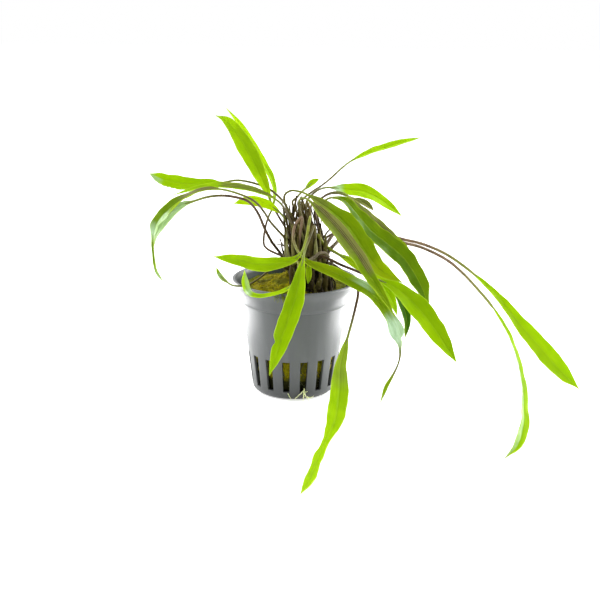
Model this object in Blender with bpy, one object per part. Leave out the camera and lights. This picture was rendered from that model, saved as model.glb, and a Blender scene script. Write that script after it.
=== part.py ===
"""A potted cryptocoryne: a grey net pot with a plug of mineral wool, and a clump of long leaves on stalks.

The origin is the middle of the pot's underside. +Z is up, -Y is the front and +X is to the right.
Routes and sizes are given in millimetres and made in metres.
"""

import math
from collections import namedtuple

import bmesh
import bpy
from mathutils import Vector

MM = 0.001
GAP = 0.3  # clearance between neighbouring pieces

POT_HEIGHT = 50.0
RIM_RADIUS = 27.0
RIM_WIDTH = 1.1
LIP_BOTTOM = 44.8  # the flared lip meets the collar here
COLLAR_RADIUS = 24.2
COLLAR_BOTTOM = 40.6
STEP_RADIUS = 23.0
FOOT_RADIUS = 18.2
FOOT_ROUND = 2.6
POT_WALL = 1.1
POT_FLOOR = 1.6
POT_SIDES = 48

SLOT_COUNT = 16
SLOT_BOTTOM = 3.8
SLOT_TOP = 17.9
SLOT_WIDTH_BOTTOM = 2.8
SLOT_WIDTH_TOP = 3.4
SLOT_TURN = -9.3  # degrees of the first slot from the front, towards +X
BASE_SLOT_COUNT = 8
BASE_SLOT_FROM = 7.0
BASE_SLOT_TO = 13.0
BASE_SLOT_WIDTH = 2.4

WOOL_TOP = 46.6  # at the pot's wall
WOOL_MOUND = 2.6  # rise of the wool to the left of the crown
WOOL_SIDES = 28
CROWN_FOOT = (8.0, -5.8)
CROWN_FOOT_DEPTH = 1.38  # front to back, as a share of its width there
CROWN_HEAD = (5.0, 0.8)
CROWN_RADIUS = 10.5
CROWN_BOTTOM = 48.4
CROWN_TOP = 56.6
CROWN_SIDES = 20

STALK_FOOT_RADIUS = 0.6
STALK_TOP_RADIUS = 0.46
STALK_SPACING = 8.0
BLADE_SPACING = 5.6
BLADE_RINGS = 6.5  # a short blade still gets about this many
RING_TURN = math.radians(18)
FINE_STEP = 0.5
BLADE_THICKNESS = 0.7
BLADE_EDGE = 0.3
BLADE_KEEL = 0.13  # depth of the fold along the midrib, as a share of the width
BLADE_TIP_WIDTH = 0.7

# How wide a blade is at even steps from its foot to its tip, as shares of its greatest width.
OUTLINES = {
    "lance": (0.0, 0.42, 0.74, 0.94, 1.0, 0.94, 0.76, 0.46, 0.0),
    "early": (0.0, 0.62, 0.95, 1.0, 0.94, 0.82, 0.62, 0.36, 0.0),
    "late": (0.0, 0.2, 0.38, 0.6, 0.82, 0.98, 0.98, 0.7, 0.0),
    "thread": (0.0, 0.3, 0.5, 0.62, 0.68, 0.7, 0.7, 0.68, 0.64, 0.72, 0.96, 0.24, 0.06, 0.06, 0.16, 0.2,
               0.0),
    "curl": (0.0, 0.4, 0.5, 0.52, 0.5, 0.6, 0.95, 0.85, 0.0),
    "twisted": (0.0, 0.3, 0.52, 0.76, 0.94, 1.0, 0.98, 0.9, 0.72, 0.4, 0.36, 0.5, 0.4, 0.46, 0.5, 0.3, 0.0),
    "broad": (0.0, 0.5, 0.7, 0.84, 0.96, 1.0, 0.9, 0.72, 0.0),
    "drooping": (0.0, 0.42, 0.6, 0.72, 0.8, 0.86, 0.91, 0.96, 1.0, 0.92, 0.5, 0.34, 0.36, 0.32, 0.2, 0.22,
                 0.0),
    "strap": (0.0, 0.5, 0.68, 0.8, 0.92, 1.0, 1.0, 0.75, 0.0),
    "spoon": (0.0, 0.42, 0.7, 0.88, 0.98, 1.0, 0.95, 0.78, 0.2),
}

# name, greatest width, the knot where the blade starts, knots from the crown to the tip,
# the ways that the upper side looks, spread evenly from the blade's start to its tip, and the outline.
Leaf = namedtuple("Leaf", "name width blade_from knots faces outline", defaults=["lance"])

LEAVES = [
    Leaf("upper_left", 7.4, 3,
         [(-1.5, 4, 57), (-3, 5, 68), (-8.5, 5, 78), (-11, 6, 83), (-12.2, 6.5, 86.5), (-16.8, 9.5, 95.5),
          (-21.4, 13, 103.5), (-26.9, 17, 111.5), (-31.2, 20, 115.5), (-35.5, 22, 117)],
         [(0.3, -0.9, 0.4), (0.1, -1, 0.3), (-0.2, -0.8, 0.6)]),
    Leaf("upper_left_rear", 3.9, 5,
         [(-3, 6.5, 57.8), (-8, 10, 58.2), (-13.5, 14, 60.5), (-14, 16, 65), (-12.5, 18, 72), (-10, 20, 78),
          (-9.5, 22, 84.5), (-11.2, 24, 90), (-14.5, 26, 95.5), (-19.8, 28, 104), (-25.5, 31, 112.5),
          (-31.5, 34, 119)],
         [(0.7, -0.8, 0.1), (0.6, -0.8, 0.4)]),
    Leaf("far_left", 6.0, 7,
         [(0.5, 6, 57), (-1, 7.5, 70), (-4.5, 8, 80.5), (-10, 9.5, 86), (-15.5, 10.5, 88.5),
          (-21, 10.5, 90), (-26, 10.5, 90.5), (-32, 10, 89.5), (-38, 9.5, 89.2), (-44, 9, 89),
          (-51, 8, 89.5), (-57, 7.5, 91), (-63, 7, 93.5)],
         [(0, -0.6, 0.8), (0, -0.8, 0.5), (0, -1, 0.3), (-0.2, -1, 0.2)], "broad"),
    Leaf("left_folded", 5.2, 3,
         [(1, 3, 57), (-0.5, 2.5, 70), (-5, 1.5, 80.5), (-8.5, 1.5, 84), (-13.5, 1.5, 86.2),
          (-20.5, 1.5, 88), (-28, 1.5, 88.9), (-35.5, 1.5, 88.9), (-43.5, 1.5, 87.6), (-52, 1.5, 85.5)],
         [(0, -0.5, 0.9), (0, -0.2, 1)]),
    Leaf("left_yellow", 4.4, 3,
         [(-1.5, 0, 57), (-2.5, -0.5, 68), (-4, -2, 75.5), (-7, -3, 79.5), (-11, -3.6, 82.3), (-16, -4, 84),
          (-21, -4.5, 84.3), (-26, -5, 83.2)],
         [(0.4, -0.9, 0.3), (0, -1, 0.3)]),
    Leaf("left_drooping", 5.9, 7,
         [(-2.5, -2.5, 57), (-4.5, -5, 68.5), (-7, -7, 72), (-10.5, -9, 76.5), (-13.5, -10.5, 81.5),
          (-17, -11.5, 85.5), (-23, -12.5, 88.5), (-30.5, -13, 90.5), (-38, -13, 90), (-45.4, -12.5, 87),
          (-52.6, -12, 81.6), (-58, -11, 75), (-59.6, -10, 67.5), (-59.5, -9, 60), (-59, -8, 54.5),
          (-56.5, -7, 49.5)],
         [(-0.2, -0.3, 0.9), (0, -0.2, 1), (-0.3, -0.6, 0.7), (-0.7, -0.7, 0.2), (-0.8, -0.6, 0),
          (-0.2, -1, 0)], "drooping"),
    Leaf("left_arching", 4.4, 9,
         [(-4, 1.5, 57.3), (-7, 1, 61.5), (-10, -1, 66), (-13, -4, 72.5), (-16, -6.5, 80),
          (-19.5, -7.5, 84.5), (-23, -8, 86), (-29.5, -8, 87), (-36, -8, 86.5), (-43, -7.5, 84.3),
          (-47, -7, 82.8), (-52, -6.5, 79.3), (-56, -6, 74.5), (-59, -5.5, 69), (-60.5, -5, 63.5)],
         [(-0.2, -0.9, 0.5), (-0.4, -0.9, 0.3), (-0.9, -0.4, 0.1)]),
    Leaf("front_left", 5.8, 7,
         [(5, -6, 57), (5, -7.5, 68), (6, -9, 77), (6.2, -12.5, 79.5), (5.5, -14.5, 76.5), (5, -16, 73),
          (4.2, -17.5, 69.5), (2.5, -19, 65.5), (-1, -21, 63), (-7, -23, 62), (-13.5, -25, 62),
          (-20, -27, 63.5), (-26, -28.5, 65), (-32.4, -30.5, 66.3)],
         [(0.2, -0.6, 0.8), (0, -1, 0.3), (0, -1, 0.3)]),
    Leaf("front_hanging", 7.8, 6,
         [(8, -6.5, 57), (8.5, -8, 67), (8, -12, 75.5), (6.8, -15.5, 73.5), (5.5, -19, 70.5),
          (4.2, -22, 67.5), (3.5, -25, 64.5), (2.5, -29, 60), (1.1, -33, 52.5), (-1.6, -37, 44),
          (-4.6, -40, 35.5), (-7.2, -42, 27.5), (-9.5, -43, 20.5)],
         [(-0.1, -0.8, 0.6), (0.1, -1, 0.3), (-0.2, -1, 0.2)]),
    Leaf("front_right_glossy", 6.8, 7,
         [(1.5, -5.5, 57), (2, -7, 70), (2.8, -9, 78.5), (0.5, -10.5, 76.5), (-0.7, -12, 73),
          (-0.6, -13.5, 70), (0.6, -15, 66.5), (2.3, -16.5, 64), (5.5, -18, 61.5), (11.5, -20, 59.6),
          (17.5, -21, 57.4), (24, -22, 54.5), (31, -22.5, 50.6), (36.4, -22.5, 44.8), (40.5, -22.5, 38.5),
          (43, -22.5, 33), (44.5, -23, 27), (44.5, -23, 21.5), (42.5, -23, 15), (39.5, -23, 9),
          (37.3, -23, 1.8)],
         [(0.1, -0.8, 0.6), (0.1, -0.9, 0.4), (0.3, -0.9, 0.3), (-0.4, -0.9, 0.1), (0.3, -0.9, 0)],
         "thread"),
    Leaf("rim_curl", 3.2, 4,
         [(-0.5, -7, 57.6), (1.5, -13, 60.2), (1.6, -16, 57.5), (1, -20, 55), (-1.3, -24.5, 53),
          (-5.5, -29, 51.5), (-11, -32, 51), (-15.3, -33.5, 51.2), (-18.3, -34, 52.7), (-19.7, -34, 56.5),
          (-19.8, -34, 61.5)],
         [(0.2, -0.4, 0.9), (0, -0.4, 0.9), (0.3, -0.8, 0.5), (0.6, -0.8, 0)], "curl"),
    Leaf("small_left", 2.0, 8,
         [(-3.5, -4.5, 57.7), (-6.7, -8, 58.2), (-11, -10, 55.5), (-13.7, -12, 53.7), (-16.5, -14, 52),
          (-19.2, -17, 51.2), (-21.3, -19.5, 51.3), (-25.3, -22, 52.1), (-28, -23, 54),
          (-30.3, -23.5, 56.5), (-32, -24, 60)],
         [(-0.3, -0.9, 0.3), (-0.5, -0.8, 0.2)]),
    Leaf("striped", 6.6, 5,
         [(5.5, -3, 57), (4, -4.5, 72), (1.5, -6, 82.5), (2, -7.5, 86), (4, -8.5, 86.5), (6, -9.5, 85.5),
          (9.5, -12, 82.5), (15, -15, 77.5), (20, -18, 72), (25, -21, 66), (29.5, -23.5, 59.5),
          (34, -25.5, 53), (37.5, -27, 48), (41.5, -28, 41.5)],
         [(0.3, -0.8, 0.5), (0.2, -0.9, 0.4)], "early"),
    Leaf("upper_right_front", 9.6, 6,
         [(3, -2, 57), (1.5, -2, 72), (-4.5, -2, 83), (-4.7, -2, 86.5), (-2.2, -2.5, 88.5), (0.7, -3, 88.5),
          (4.5, -4, 87.5), (10.5, -5.5, 84), (17, -7, 79.5), (23, -9, 74), (27.5, -12, 68), (32, -15, 62),
          (36.5, -17.5, 58), (45, -19, 53.5)],
         [(0.3, -0.6, 0.8), (0.3, -0.8, 0.5), (0.2, -0.9, 0.3)]),
    Leaf("right_low", 9.3, 7,
         [(10.5, -5.5, 57.4), (10, -9, 60.5), (11.7, -10, 62), (14.6, -10.5, 61), (19, -11, 59),
          (24, -11, 57), (30, -11, 54.5), (35.5, -11.5, 52.5), (41, -12, 50.5), (47, -13.5, 46.5),
          (53, -16, 41), (58.5, -18.5, 34.5), (63.5, -21, 27.5), (68.5, -24, 20.5)],
         [(0.3, -0.8, 0.5), (0.2, -0.9, 0.35), (0.2, -0.9, 0.3)]),
    Leaf("right_dark", 8.8, 4,
         [(9, 3, 57), (10, 4, 70), (8.5, 5, 78.5), (12, 6.5, 82.5), (16, 8, 84), (21.5, 9, 82.5),
          (27, 10, 76.5), (33.5, 11, 69), (41, 11.5, 63), (47.5, 11.5, 57.5), (52.5, 11, 51),
          (56.5, 10.5, 44), (59.5, 10, 36.5)],
         [(0.3, -0.8, 0.6), (0.4, -0.9, 0.3), (0.2, -1, 0.2)], "spoon"),
    Leaf("right_rear", 5.8, 5,
         [(9, 6.5, 57), (10.5, 8.5, 70), (9, 10, 80), (12.5, 11.5, 84), (17, 13, 85.5), (21.5, 14, 84.5),
          (27.3, 15.5, 79), (34.3, 16, 72.7), (41.3, 16, 65.9), (47.4, 16, 59.8), (52.7, 16, 53.2),
          (57.6, 16, 46.4), (60, 16, 38.5)],
         [(0.5, -0.6, 0.6), (0.5, -0.8, 0.4), (0.3, -0.9, 0.3)]),
    Leaf("top_right_bright", 6.8, 5,
         [(6.5, 8.5, 57), (7.5, 11, 70), (4.5, 15, 79.5), (7.5, 19, 83.5), (11.5, 22, 85.5),
          (16, 24.5, 85.5), (21.5, 26, 84.6), (29, 27.5, 83.8), (36, 28.5, 81), (42, 29, 77),
          (48.5, 29, 72)],
         [(0.1, -0.7, 0.7), (0.3, -0.8, 0.5)], "early"),
    Leaf("small_withered", 3.2, 7,
         [(6, 5, 57), (7, 7, 71), (6.7, 13, 79), (10.2, 16, 81.5), (14.6, 19, 83.5), (19, 21, 83.5),
          (22.7, 22, 82.3), (26.5, 22.8, 80.8), (31, 23.5, 78.8), (35, 24, 75.7)],
         [(0.2, -0.8, 0.5)]),
    Leaf("top_arching", 5.0, 7,
         [(3.5, 7.5, 57), (3.2, 11, 72), (2.8, 18, 80.5), (7, 21, 84), (11, 25, 86), (15, 29, 88.5),
          (20.5, 33, 93), (25, 36, 96), (33.5, 39, 99.5), (45, 42, 102.9), (56.5, 44, 106)],
         [(0, -0.3, 1), (-0.2, -0.5, 0.9)]),
    Leaf("top_short", 2.8, 5,
         [(4, 1.5, 57), (3, 4, 73), (-1.5, 8, 81.5), (0.5, 10, 83.5), (2.5, 12, 85.5), (4.5, 14, 87),
          (7, 16, 89), (10, 18, 90.5)],
         [(-0.2, -0.8, 0.6)]),
    Leaf("far_right", 8.4, 10,
         [(12.5, 2.5, 57.3), (13.5, 5, 63), (15.6, 9.5, 66), (19, 15, 68.5), (25, 21, 70), (33.5, 26, 67.5),
          (41, 28, 64), (48, 26, 62.2), (57, 20, 61.3), (67, 12, 58.5), (77.5, 7, 52), (87, 2, 44.4),
          (93.7, 0, 37.2), (100.5, -1.5, 29.1), (109.2, -2.5, 19.6), (117.3, -3, 10.8), (127, -3, 1.5)],
         [(0.3, -0.8, 0.5), (0.2, -0.9, 0.35), (0.2, -0.9, 0.35)], "late"),
    Leaf("far_right_low", 4.6, 12,
         [(13.5, -0.5, 57.3), (14.8, 2, 62), (18, 6, 64.5), (21, 11, 66.8), (27, 17, 67.8),
          (34.5, 21.5, 65.4), (42, 23, 62.7), (49, 21, 61.4), (56.2, 14, 61), (66, 4, 58), (72.5, -2, 53.5),
          (78.5, -10, 48), (82.8, -16, 43.5), (85.6, -22, 39.5), (88.7, -28, 34), (90.8, -36, 27.5),
          (91.8, -44, 20.5), (91.4, -52, 13.8), (89.8, -61, 7.6), (86, -69.5, 3), (80.5, -75, 0.6)],
         [(0.5, -0.4, 0.7), (0.8, -0.4, 0.45), (0.7, -0.5, 0.5), (0.1, -0.3, 1)], "strap"),
    Leaf("floor_front", 7.6, 8,
         [(12, -4, 57.8), (15, -6.2, 58.2), (18.5, -7.7, 56.5), (22.5, -9, 54), (25.8, -10.5, 52),
          (27, -12.5, 47.5), (26.1, -15, 42.5), (24.4, -20, 37), (22.5, -25, 31.5), (21, -29, 27),
          (19.4, -34, 21.5), (19, -40, 15.7), (18.2, -48, 11), (16.8, -57, 7.5), (13.9, -67, 4.4),
          (10.6, -77, 2.2), (8.5, -87, 1), (6.5, -97, 0.6), (3.5, -107, 0.6)],
         [(0.3, -0.8, 0.5), (0.1, -0.6, 0.8), (-0.1, -0.3, 1), (0, 0, 1), (0, 0, 1)], "twisted"),
    Leaf("right_yellow", 6.2, 5,
         [(10.5, 0, 57), (11, -1, 66), (9.7, -3, 69.7), (12, -4, 66.3), (15, -5, 64), (18.5, -5, 62),
          (23, -5, 59.5), (28.5, -5, 56.5), (34, -5.5, 52.5), (39, -6.5, 47), (42.5, -7, 41),
          (44.5, -7.5, 35.5)],
         [(0.2, -0.8, 0.6), (0.3, -0.9, 0.4)]),
    Leaf("right_hidden", 4.6, 7,
         [(11.5, -2.5, 57), (12.5, -2, 66), (14, 0, 68.5), (19, 2, 70), (25, 3, 67.5), (30.5, 3, 62),
          (35.5, 2, 55.5), (40, 1, 50.5), (44.5, 0.5, 44.5), (47.5, 0, 38.5), (49.5, -0.5, 31),
          (49, -1, 23.5)],
         [(0.5, -0.8, 0.3), (0.5, -0.9, 0)]),
    Leaf("young_bract", 2.4, 2,
         [(6.5, -8.3, 57.4), (6.2, -11.5, 59.6), (5.9, -14.2, 59.8), (5.9, -16, 58), (6, -16.8, 55.2),
          (5.6, -17, 52)],
         [(0, -1, 0.3)]),
]

# Where each strand of the root tuft ends on the surface below, and how thick it is at its root.
ROOT_OUTLET = (4.8, -17.6, 5.1)
ROOT_KNOT = (4.6, -19.4, 3.9)
ROOT_KNOT_RADIUS = 0.8
ROOT_RADIUS = 0.38
ROOT_TIPS = [(0.6, -18.6, 0.5), (4.4, -20.2, 0.5), (6.6, -20.4, 0.5), (8.2, -18.9, 1.6)]

POT_GREY = (0.16, 0.17, 0.18)
WOOL_OCHRE = (0.22, 0.17, 0.03)
CROWN_BROWN = (0.05, 0.035, 0.015)
STALK_BROWN = (0.16, 0.1, 0.035)
STALK_TAN = (0.38, 0.3, 0.13)
ROOT_CREAM = (0.75, 0.72, 0.5)
LEAF_GREEN = (0.2, 0.46, 0.01)
LEAF_BRIGHT = (0.34, 0.62, 0.01)
LEAF_DARK = (0.04, 0.14, 0.005)

BRIGHT_LEAVES = {
    "upper_left", "upper_left_rear", "far_left", "left_folded", "left_yellow", "front_left", "front_hanging",
    "rim_curl", "right_low", "top_right_bright", "top_arching", "top_short", "far_right", "far_right_low",
    "floor_front", "right_yellow", "young_bract",
}
DARK_LEAVES = {"right_hidden"}
TAN_STALKS = {"front_right_glossy", "far_right", "far_right_low"}


class Route:
    """A smooth curve through a leaf's knots, read by the length along it."""

    STEPS = 12

    def __init__(self, knots):
        knots = [Vector(knot) for knot in knots]
        self.points = [knots[0]]
        slopes = self.slopes(knots)
        for i in range(len(knots) - 1):
            for step in range(1, self.STEPS + 1):
                self.points.append(self.between(knots, slopes, i, step / self.STEPS))
        self.lengths = [0.0]
        for before, after in zip(self.points, self.points[1:]):
            self.lengths.append(self.lengths[-1] + (after - before).length)
        self.knot_lengths = self.lengths[:: self.STEPS]
        self.length = self.lengths[-1]

    @staticmethod
    def slopes(knots):
        """The direction and speed at each knot, from the knots beside it."""
        found = []
        for i in range(len(knots)):
            before = knots[max(i - 1, 0)]
            after = knots[min(i + 1, len(knots) - 1)]
            run = (knots[i] - before).length + (after - knots[i]).length
            found.append((after - before) / run)
        return found

    @staticmethod
    def between(knots, slopes, i, t):
        span = (knots[i + 1] - knots[i]).length
        return (
            knots[i] * (2 * t**3 - 3 * t**2 + 1)
            + slopes[i] * span * (t**3 - 2 * t**2 + t)
            + knots[i + 1] * (3 * t**2 - 2 * t**3)
            + slopes[i + 1] * span * (t**3 - t**2)
        )

    def point(self, length):
        length = min(max(length, 0.0), self.length)
        i = 0
        while i < len(self.lengths) - 2 and self.lengths[i + 1] < length:
            i += 1
        share = (length - self.lengths[i]) / (self.lengths[i + 1] - self.lengths[i])
        return self.points[i].lerp(self.points[i + 1], share)

    def tangent(self, length, reach=0.6):
        return (self.point(length + reach) - self.point(length - reach)).normalized()


def steps_along(route, start, end, longest):
    """Lengths from start to end for the rings of a piece: nearer each other where the route bends."""
    lengths = [start]
    length = start
    turned_by = 0.0
    while length < end - FINE_STEP:
        length += FINE_STEP
        turned_by += route.tangent(length).angle(route.tangent(length - FINE_STEP))
        if length - lengths[-1] > longest or turned_by > RING_TURN:
            lengths.append(length)
            turned_by = 0.0
    if len(lengths) > 1 and end - lengths[-1] < longest / 3:
        lengths.pop()
    return [*lengths, end]


def material(name, colour, roughness):
    made = bpy.data.materials.get(name) or bpy.data.materials.new(name)
    made.use_nodes = True
    shader = made.node_tree.nodes["Principled BSDF"]
    shader.inputs["Base Color"].default_value = (*colour, 1)
    shader.inputs["Roughness"].default_value = roughness
    shader.inputs["Metallic"].default_value = 0.0
    return made


def finished(name, mesh, made_of, sharp_degrees=40):
    """The mesh as a named object of the scene, shaded round."""
    mesh.shade_smooth()
    mesh.set_sharp_from_angle(angle=math.radians(sharp_degrees))
    mesh.materials.append(made_of)
    piece = bpy.data.objects.new(name, mesh)
    bpy.context.scene.collection.objects.link(piece)
    return piece


def lofted(name, rings):
    """A closed mesh through rings of points in millimetres, with a flat cap at each end."""
    shape = bmesh.new()
    loops = [[shape.verts.new(Vector(point) * MM) for point in ring] for ring in rings]
    count = len(loops[0])
    for low, high in zip(loops, loops[1:]):
        for i in range(count):
            j = (i + 1) % count
            shape.faces.new((low[i], low[j], high[j], high[i]))
    shape.faces.new(loops[0][::-1])
    shape.faces.new(loops[-1])
    bmesh.ops.recalc_face_normals(shape, faces=shape.faces)
    mesh = bpy.data.meshes.new(name)
    shape.to_mesh(mesh)
    shape.free()
    return mesh


def pot_profile():
    """The pot's section from the middle of its underside, up outside, over the rim and down inside."""
    outer = [
        (FOOT_RADIUS - FOOT_ROUND * (1 - math.sin(a)), FOOT_ROUND * (1 - math.cos(a)))
        for a in (math.radians(degrees) for degrees in (0, 30, 60, 90))
    ]
    outer += [
        (STEP_RADIUS, COLLAR_BOTTOM - 0.5),
        (COLLAR_RADIUS - 0.1, COLLAR_BOTTOM),
        (COLLAR_RADIUS, LIP_BOTTOM),
        (RIM_RADIUS - 1.3, POT_HEIGHT - 2.7),
        (RIM_RADIUS, POT_HEIGHT - 0.8),
        (RIM_RADIUS - 0.1, POT_HEIGHT),
    ]
    inner = [
        (RIM_RADIUS - RIM_WIDTH, POT_HEIGHT),
        (RIM_RADIUS - RIM_WIDTH - 1.3, POT_HEIGHT - 2.6),
        (COLLAR_RADIUS - POT_WALL, LIP_BOTTOM),
        (COLLAR_RADIUS - POT_WALL, COLLAR_BOTTOM + 1),
        (STEP_RADIUS - POT_WALL, COLLAR_BOTTOM),
        (FOOT_RADIUS - POT_WALL, POT_FLOOR + 1.6),
        (FOOT_RADIUS - POT_WALL - 1.2, POT_FLOOR),
    ]
    return [(0, 0), *outer, *inner, (0, POT_FLOOR)]


def slot_cutter():
    """The side and base slots of the pot as one object that the pot's Boolean takes away."""
    shape = bmesh.new()

    def block(turn, corners, along):
        """A block with four corners across and two ends along, turned about the pot's axis."""
        side = Vector((math.cos(turn), math.sin(turn), 0))
        out = Vector((math.sin(turn), -math.cos(turn), 0))
        ends = []
        for reach in along or (-1.0, POT_FLOOR + 1.0):
            points = []
            for x, y in corners:
                outwards, height = (reach, y) if along else (y, reach)
                points.append(shape.verts.new((side * x + out * outwards + Vector((0, 0, height))) * MM))
            ends.append(points)
        for i in range(4):
            j = (i + 1) % 4
            shape.faces.new((ends[0][i], ends[0][j], ends[1][j], ends[1][i]))
        shape.faces.new(ends[0][::-1])
        shape.faces.new(ends[1])

    for i in range(SLOT_COUNT):
        turn = math.radians(SLOT_TURN + 360 * i / SLOT_COUNT)
        low, high = SLOT_WIDTH_BOTTOM / 2, SLOT_WIDTH_TOP / 2
        corners = [(-low, SLOT_BOTTOM), (low, SLOT_BOTTOM), (high, SLOT_TOP), (-high, SLOT_TOP)]
        block(turn, corners, (FOOT_RADIUS - 4, RIM_RADIUS))
    for i in range(BASE_SLOT_COUNT):
        turn = math.radians(360 * (i + 0.5) / BASE_SLOT_COUNT)
        half = BASE_SLOT_WIDTH / 2
        near, far = BASE_SLOT_FROM, BASE_SLOT_TO
        corners = [(-half, near), (half, near), (half, far), (-half, far)]
        block(turn, corners, None)
    bmesh.ops.recalc_face_normals(shape, faces=shape.faces)
    mesh = bpy.data.meshes.new("pot_slots")
    shape.to_mesh(mesh)
    shape.free()
    cutter = bpy.data.objects.new("pot_slots", mesh)
    bpy.context.scene.collection.objects.link(cutter)
    cutter.hide_render = True
    cutter.display_type = "WIRE"
    return cutter


def turned(name, profile, sides):
    """A closed mesh of a section turned about Z, from its lower axis point to its upper one."""
    shape = bmesh.new()
    first = shape.verts.new((0, 0, profile[0][1] * MM))
    last = shape.verts.new((0, 0, profile[-1][1] * MM))
    rings = []
    for radius, height in profile[1:-1]:
        ring = []
        for i in range(sides):
            turn = 2 * math.pi * i / sides
            ring.append(shape.verts.new(
                (radius * math.sin(turn) * MM, -radius * math.cos(turn) * MM, height * MM)))
        rings.append(ring)
    for i in range(sides):
        j = (i + 1) % sides
        shape.faces.new((first, rings[0][j], rings[0][i]))
        shape.faces.new((last, rings[-1][i], rings[-1][j]))
        for low, high in zip(rings, rings[1:]):
            shape.faces.new((low[i], low[j], high[j], high[i]))
    bmesh.ops.recalc_face_normals(shape, faces=shape.faces)
    mesh = bpy.data.meshes.new(name)
    shape.to_mesh(mesh)
    shape.free()
    return mesh


def make_pot():
    mesh = turned("pot", pot_profile(), POT_SIDES)
    pot = finished("pot", mesh, material("pot_plastic", POT_GREY, 0.45))
    cut = pot.modifiers.new("slots", "BOOLEAN")
    cut.operation = "DIFFERENCE"
    cut.solver = "EXACT"
    cut.object = slot_cutter()
    return pot


def lumps(turn, height):
    """A small smooth unevenness for a direction in radians and a height in millimetres."""
    return (
        0.5 * math.sin(3 * turn + 0.21 * height)
        + 0.3 * math.sin(5 * turn - 0.33 * height + 1.3)
        + 0.2 * math.sin(8 * turn + 0.5 * height + 2.1)
    )


def wool_rings():
    """Rings of the wool plug from its underside to its mounded top."""
    low = POT_FLOOR + GAP
    taper = (STEP_RADIUS - FOOT_RADIUS) / (COLLAR_BOTTOM - FOOT_ROUND)
    heights = [low, low + 2.2, 12, 20, 28, 36, 40, 43.4]
    rings = []
    for height in heights:
        inside = FOOT_RADIUS - POT_WALL + taper * (height - FOOT_ROUND)
        radius = min(inside, STEP_RADIUS - POT_WALL) - GAP - 0.35
        if height == low:
            radius -= 2.2
        rings.append((radius, height, 0.15))
    inner = COLLAR_RADIUS - POT_WALL
    rings += [
        (inner - GAP - 0.6, WOOL_TOP - 0.6, 0.3),
        (inner - 2.4, WOOL_TOP + 0.3, 0.4),
        (inner - 7, WOOL_TOP + 0.9, 0.4),
        (10, WOOL_TOP + 1.2, 0.2),
        (6, WOOL_TOP + 1.3, 0.1),
        (1.5, WOOL_TOP + 1.3, 0.0),
    ]
    return rings


def wool_mound(x, y):
    """How much higher the wool is at that place, to the left of the crown."""
    return WOOL_MOUND * math.exp(-(((x + 8.5) / 5) ** 2 + ((y - 0.5) / 8) ** 2))


def make_wool():
    loops = []
    for radius, height, rough in wool_rings():
        loop = []
        for i in range(WOOL_SIDES):
            turn = 2 * math.pi * i / WOOL_SIDES
            reach = radius - rough * (1 + lumps(turn, height))
            x, y = reach * math.sin(turn), -reach * math.cos(turn)
            rise = 0
            if height >= WOOL_TOP:
                rise = rough * lumps(turn + 0.7, height * 3) + wool_mound(x, y)
            loop.append((x, y, height + rise))
        loops.append(loop)
    mesh = lofted("mineral_wool", loops)
    return finished("mineral_wool", mesh, material("wool", WOOL_OCHRE, 0.95), 60)


def make_crown():
    """The knot of old leaf bases that every stalk springs from."""
    sections = [
        (0.78, CROWN_BOTTOM),
        (0.8, CROWN_BOTTOM + 2.2),
        (0.95, CROWN_TOP - 2.4),
        (1.0, CROWN_TOP - 1),
        (0.97, CROWN_TOP),
    ]
    loops = []
    for share, height in sections:
        rise = (height - CROWN_BOTTOM) / (CROWN_TOP - CROWN_BOTTOM)
        x, y = Vector(CROWN_FOOT).lerp(Vector(CROWN_HEAD), rise)
        depth = CROWN_FOOT_DEPTH + (1 - CROWN_FOOT_DEPTH) * rise
        loop = []
        for i in range(CROWN_SIDES):
            turn = 2 * math.pi * i / CROWN_SIDES
            reach = CROWN_RADIUS * share + 0.5 * lumps(turn, height)
            loop.append((x + reach * math.sin(turn), y - depth * reach * math.cos(turn), height))
        loops.append(loop)
    mesh = lofted("rootstock", loops)
    return finished("rootstock", mesh, material("rootstock", CROWN_BROWN, 0.8))


def make_stalk(leaf, route):
    """The stalk as a tapering round tube, from just above the crown to just below the blade."""
    end = route.knot_lengths[leaf.blade_from] - GAP * 0.7
    shown = steps_along(route, 0.0, end, STALK_SPACING)
    curve = bpy.data.curves.new(f"stem_{leaf.name}", "CURVE")
    curve.dimensions = "3D"
    curve.bevel_depth = 1.0 * MM
    curve.bevel_resolution = 1
    curve.use_fill_caps = True
    line = curve.splines.new("POLY")
    line.points.add(len(shown) - 1)
    for point, length in zip(line.points, shown):
        point.co = (*(route.point(length) * MM), 1)
        point.radius = STALK_FOOT_RADIUS + (STALK_TOP_RADIUS - STALK_FOOT_RADIUS) * length / end
    colour = STALK_TAN if leaf.name in TAN_STALKS else STALK_BROWN
    name = "stalk_tan" if leaf.name in TAN_STALKS else "stalk_brown"
    curve.materials.append(material(name, colour, 0.5))
    piece = bpy.data.objects.new(f"stem_{leaf.name}", curve)
    bpy.context.scene.collection.objects.link(piece)
    return piece


def blade_width(leaf, share):
    """The width at a share of the blade's length."""
    outline = OUTLINES[leaf.outline]
    place = min(max(share, 0.0), 1.0) * (len(outline) - 1)
    i = min(int(place), len(outline) - 2)
    ease = place - i
    before, here, there, after = (outline[min(max(k, 0), len(outline) - 1)] for k in range(i - 1, i + 3))
    slope = (there - before) / 2
    bend = before - 2.5 * here + 2 * there - after / 2
    twist = 1.5 * (here - there) + (after - before) / 2
    swell = here + ease * (slope + ease * (bend + ease * twist))
    ends = 2 * STALK_TOP_RADIUS + (BLADE_TIP_WIDTH - 2 * STALK_TOP_RADIUS) * share
    return ends + (leaf.width - ends) * min(max(swell, 0.0), 1.0)


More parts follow.
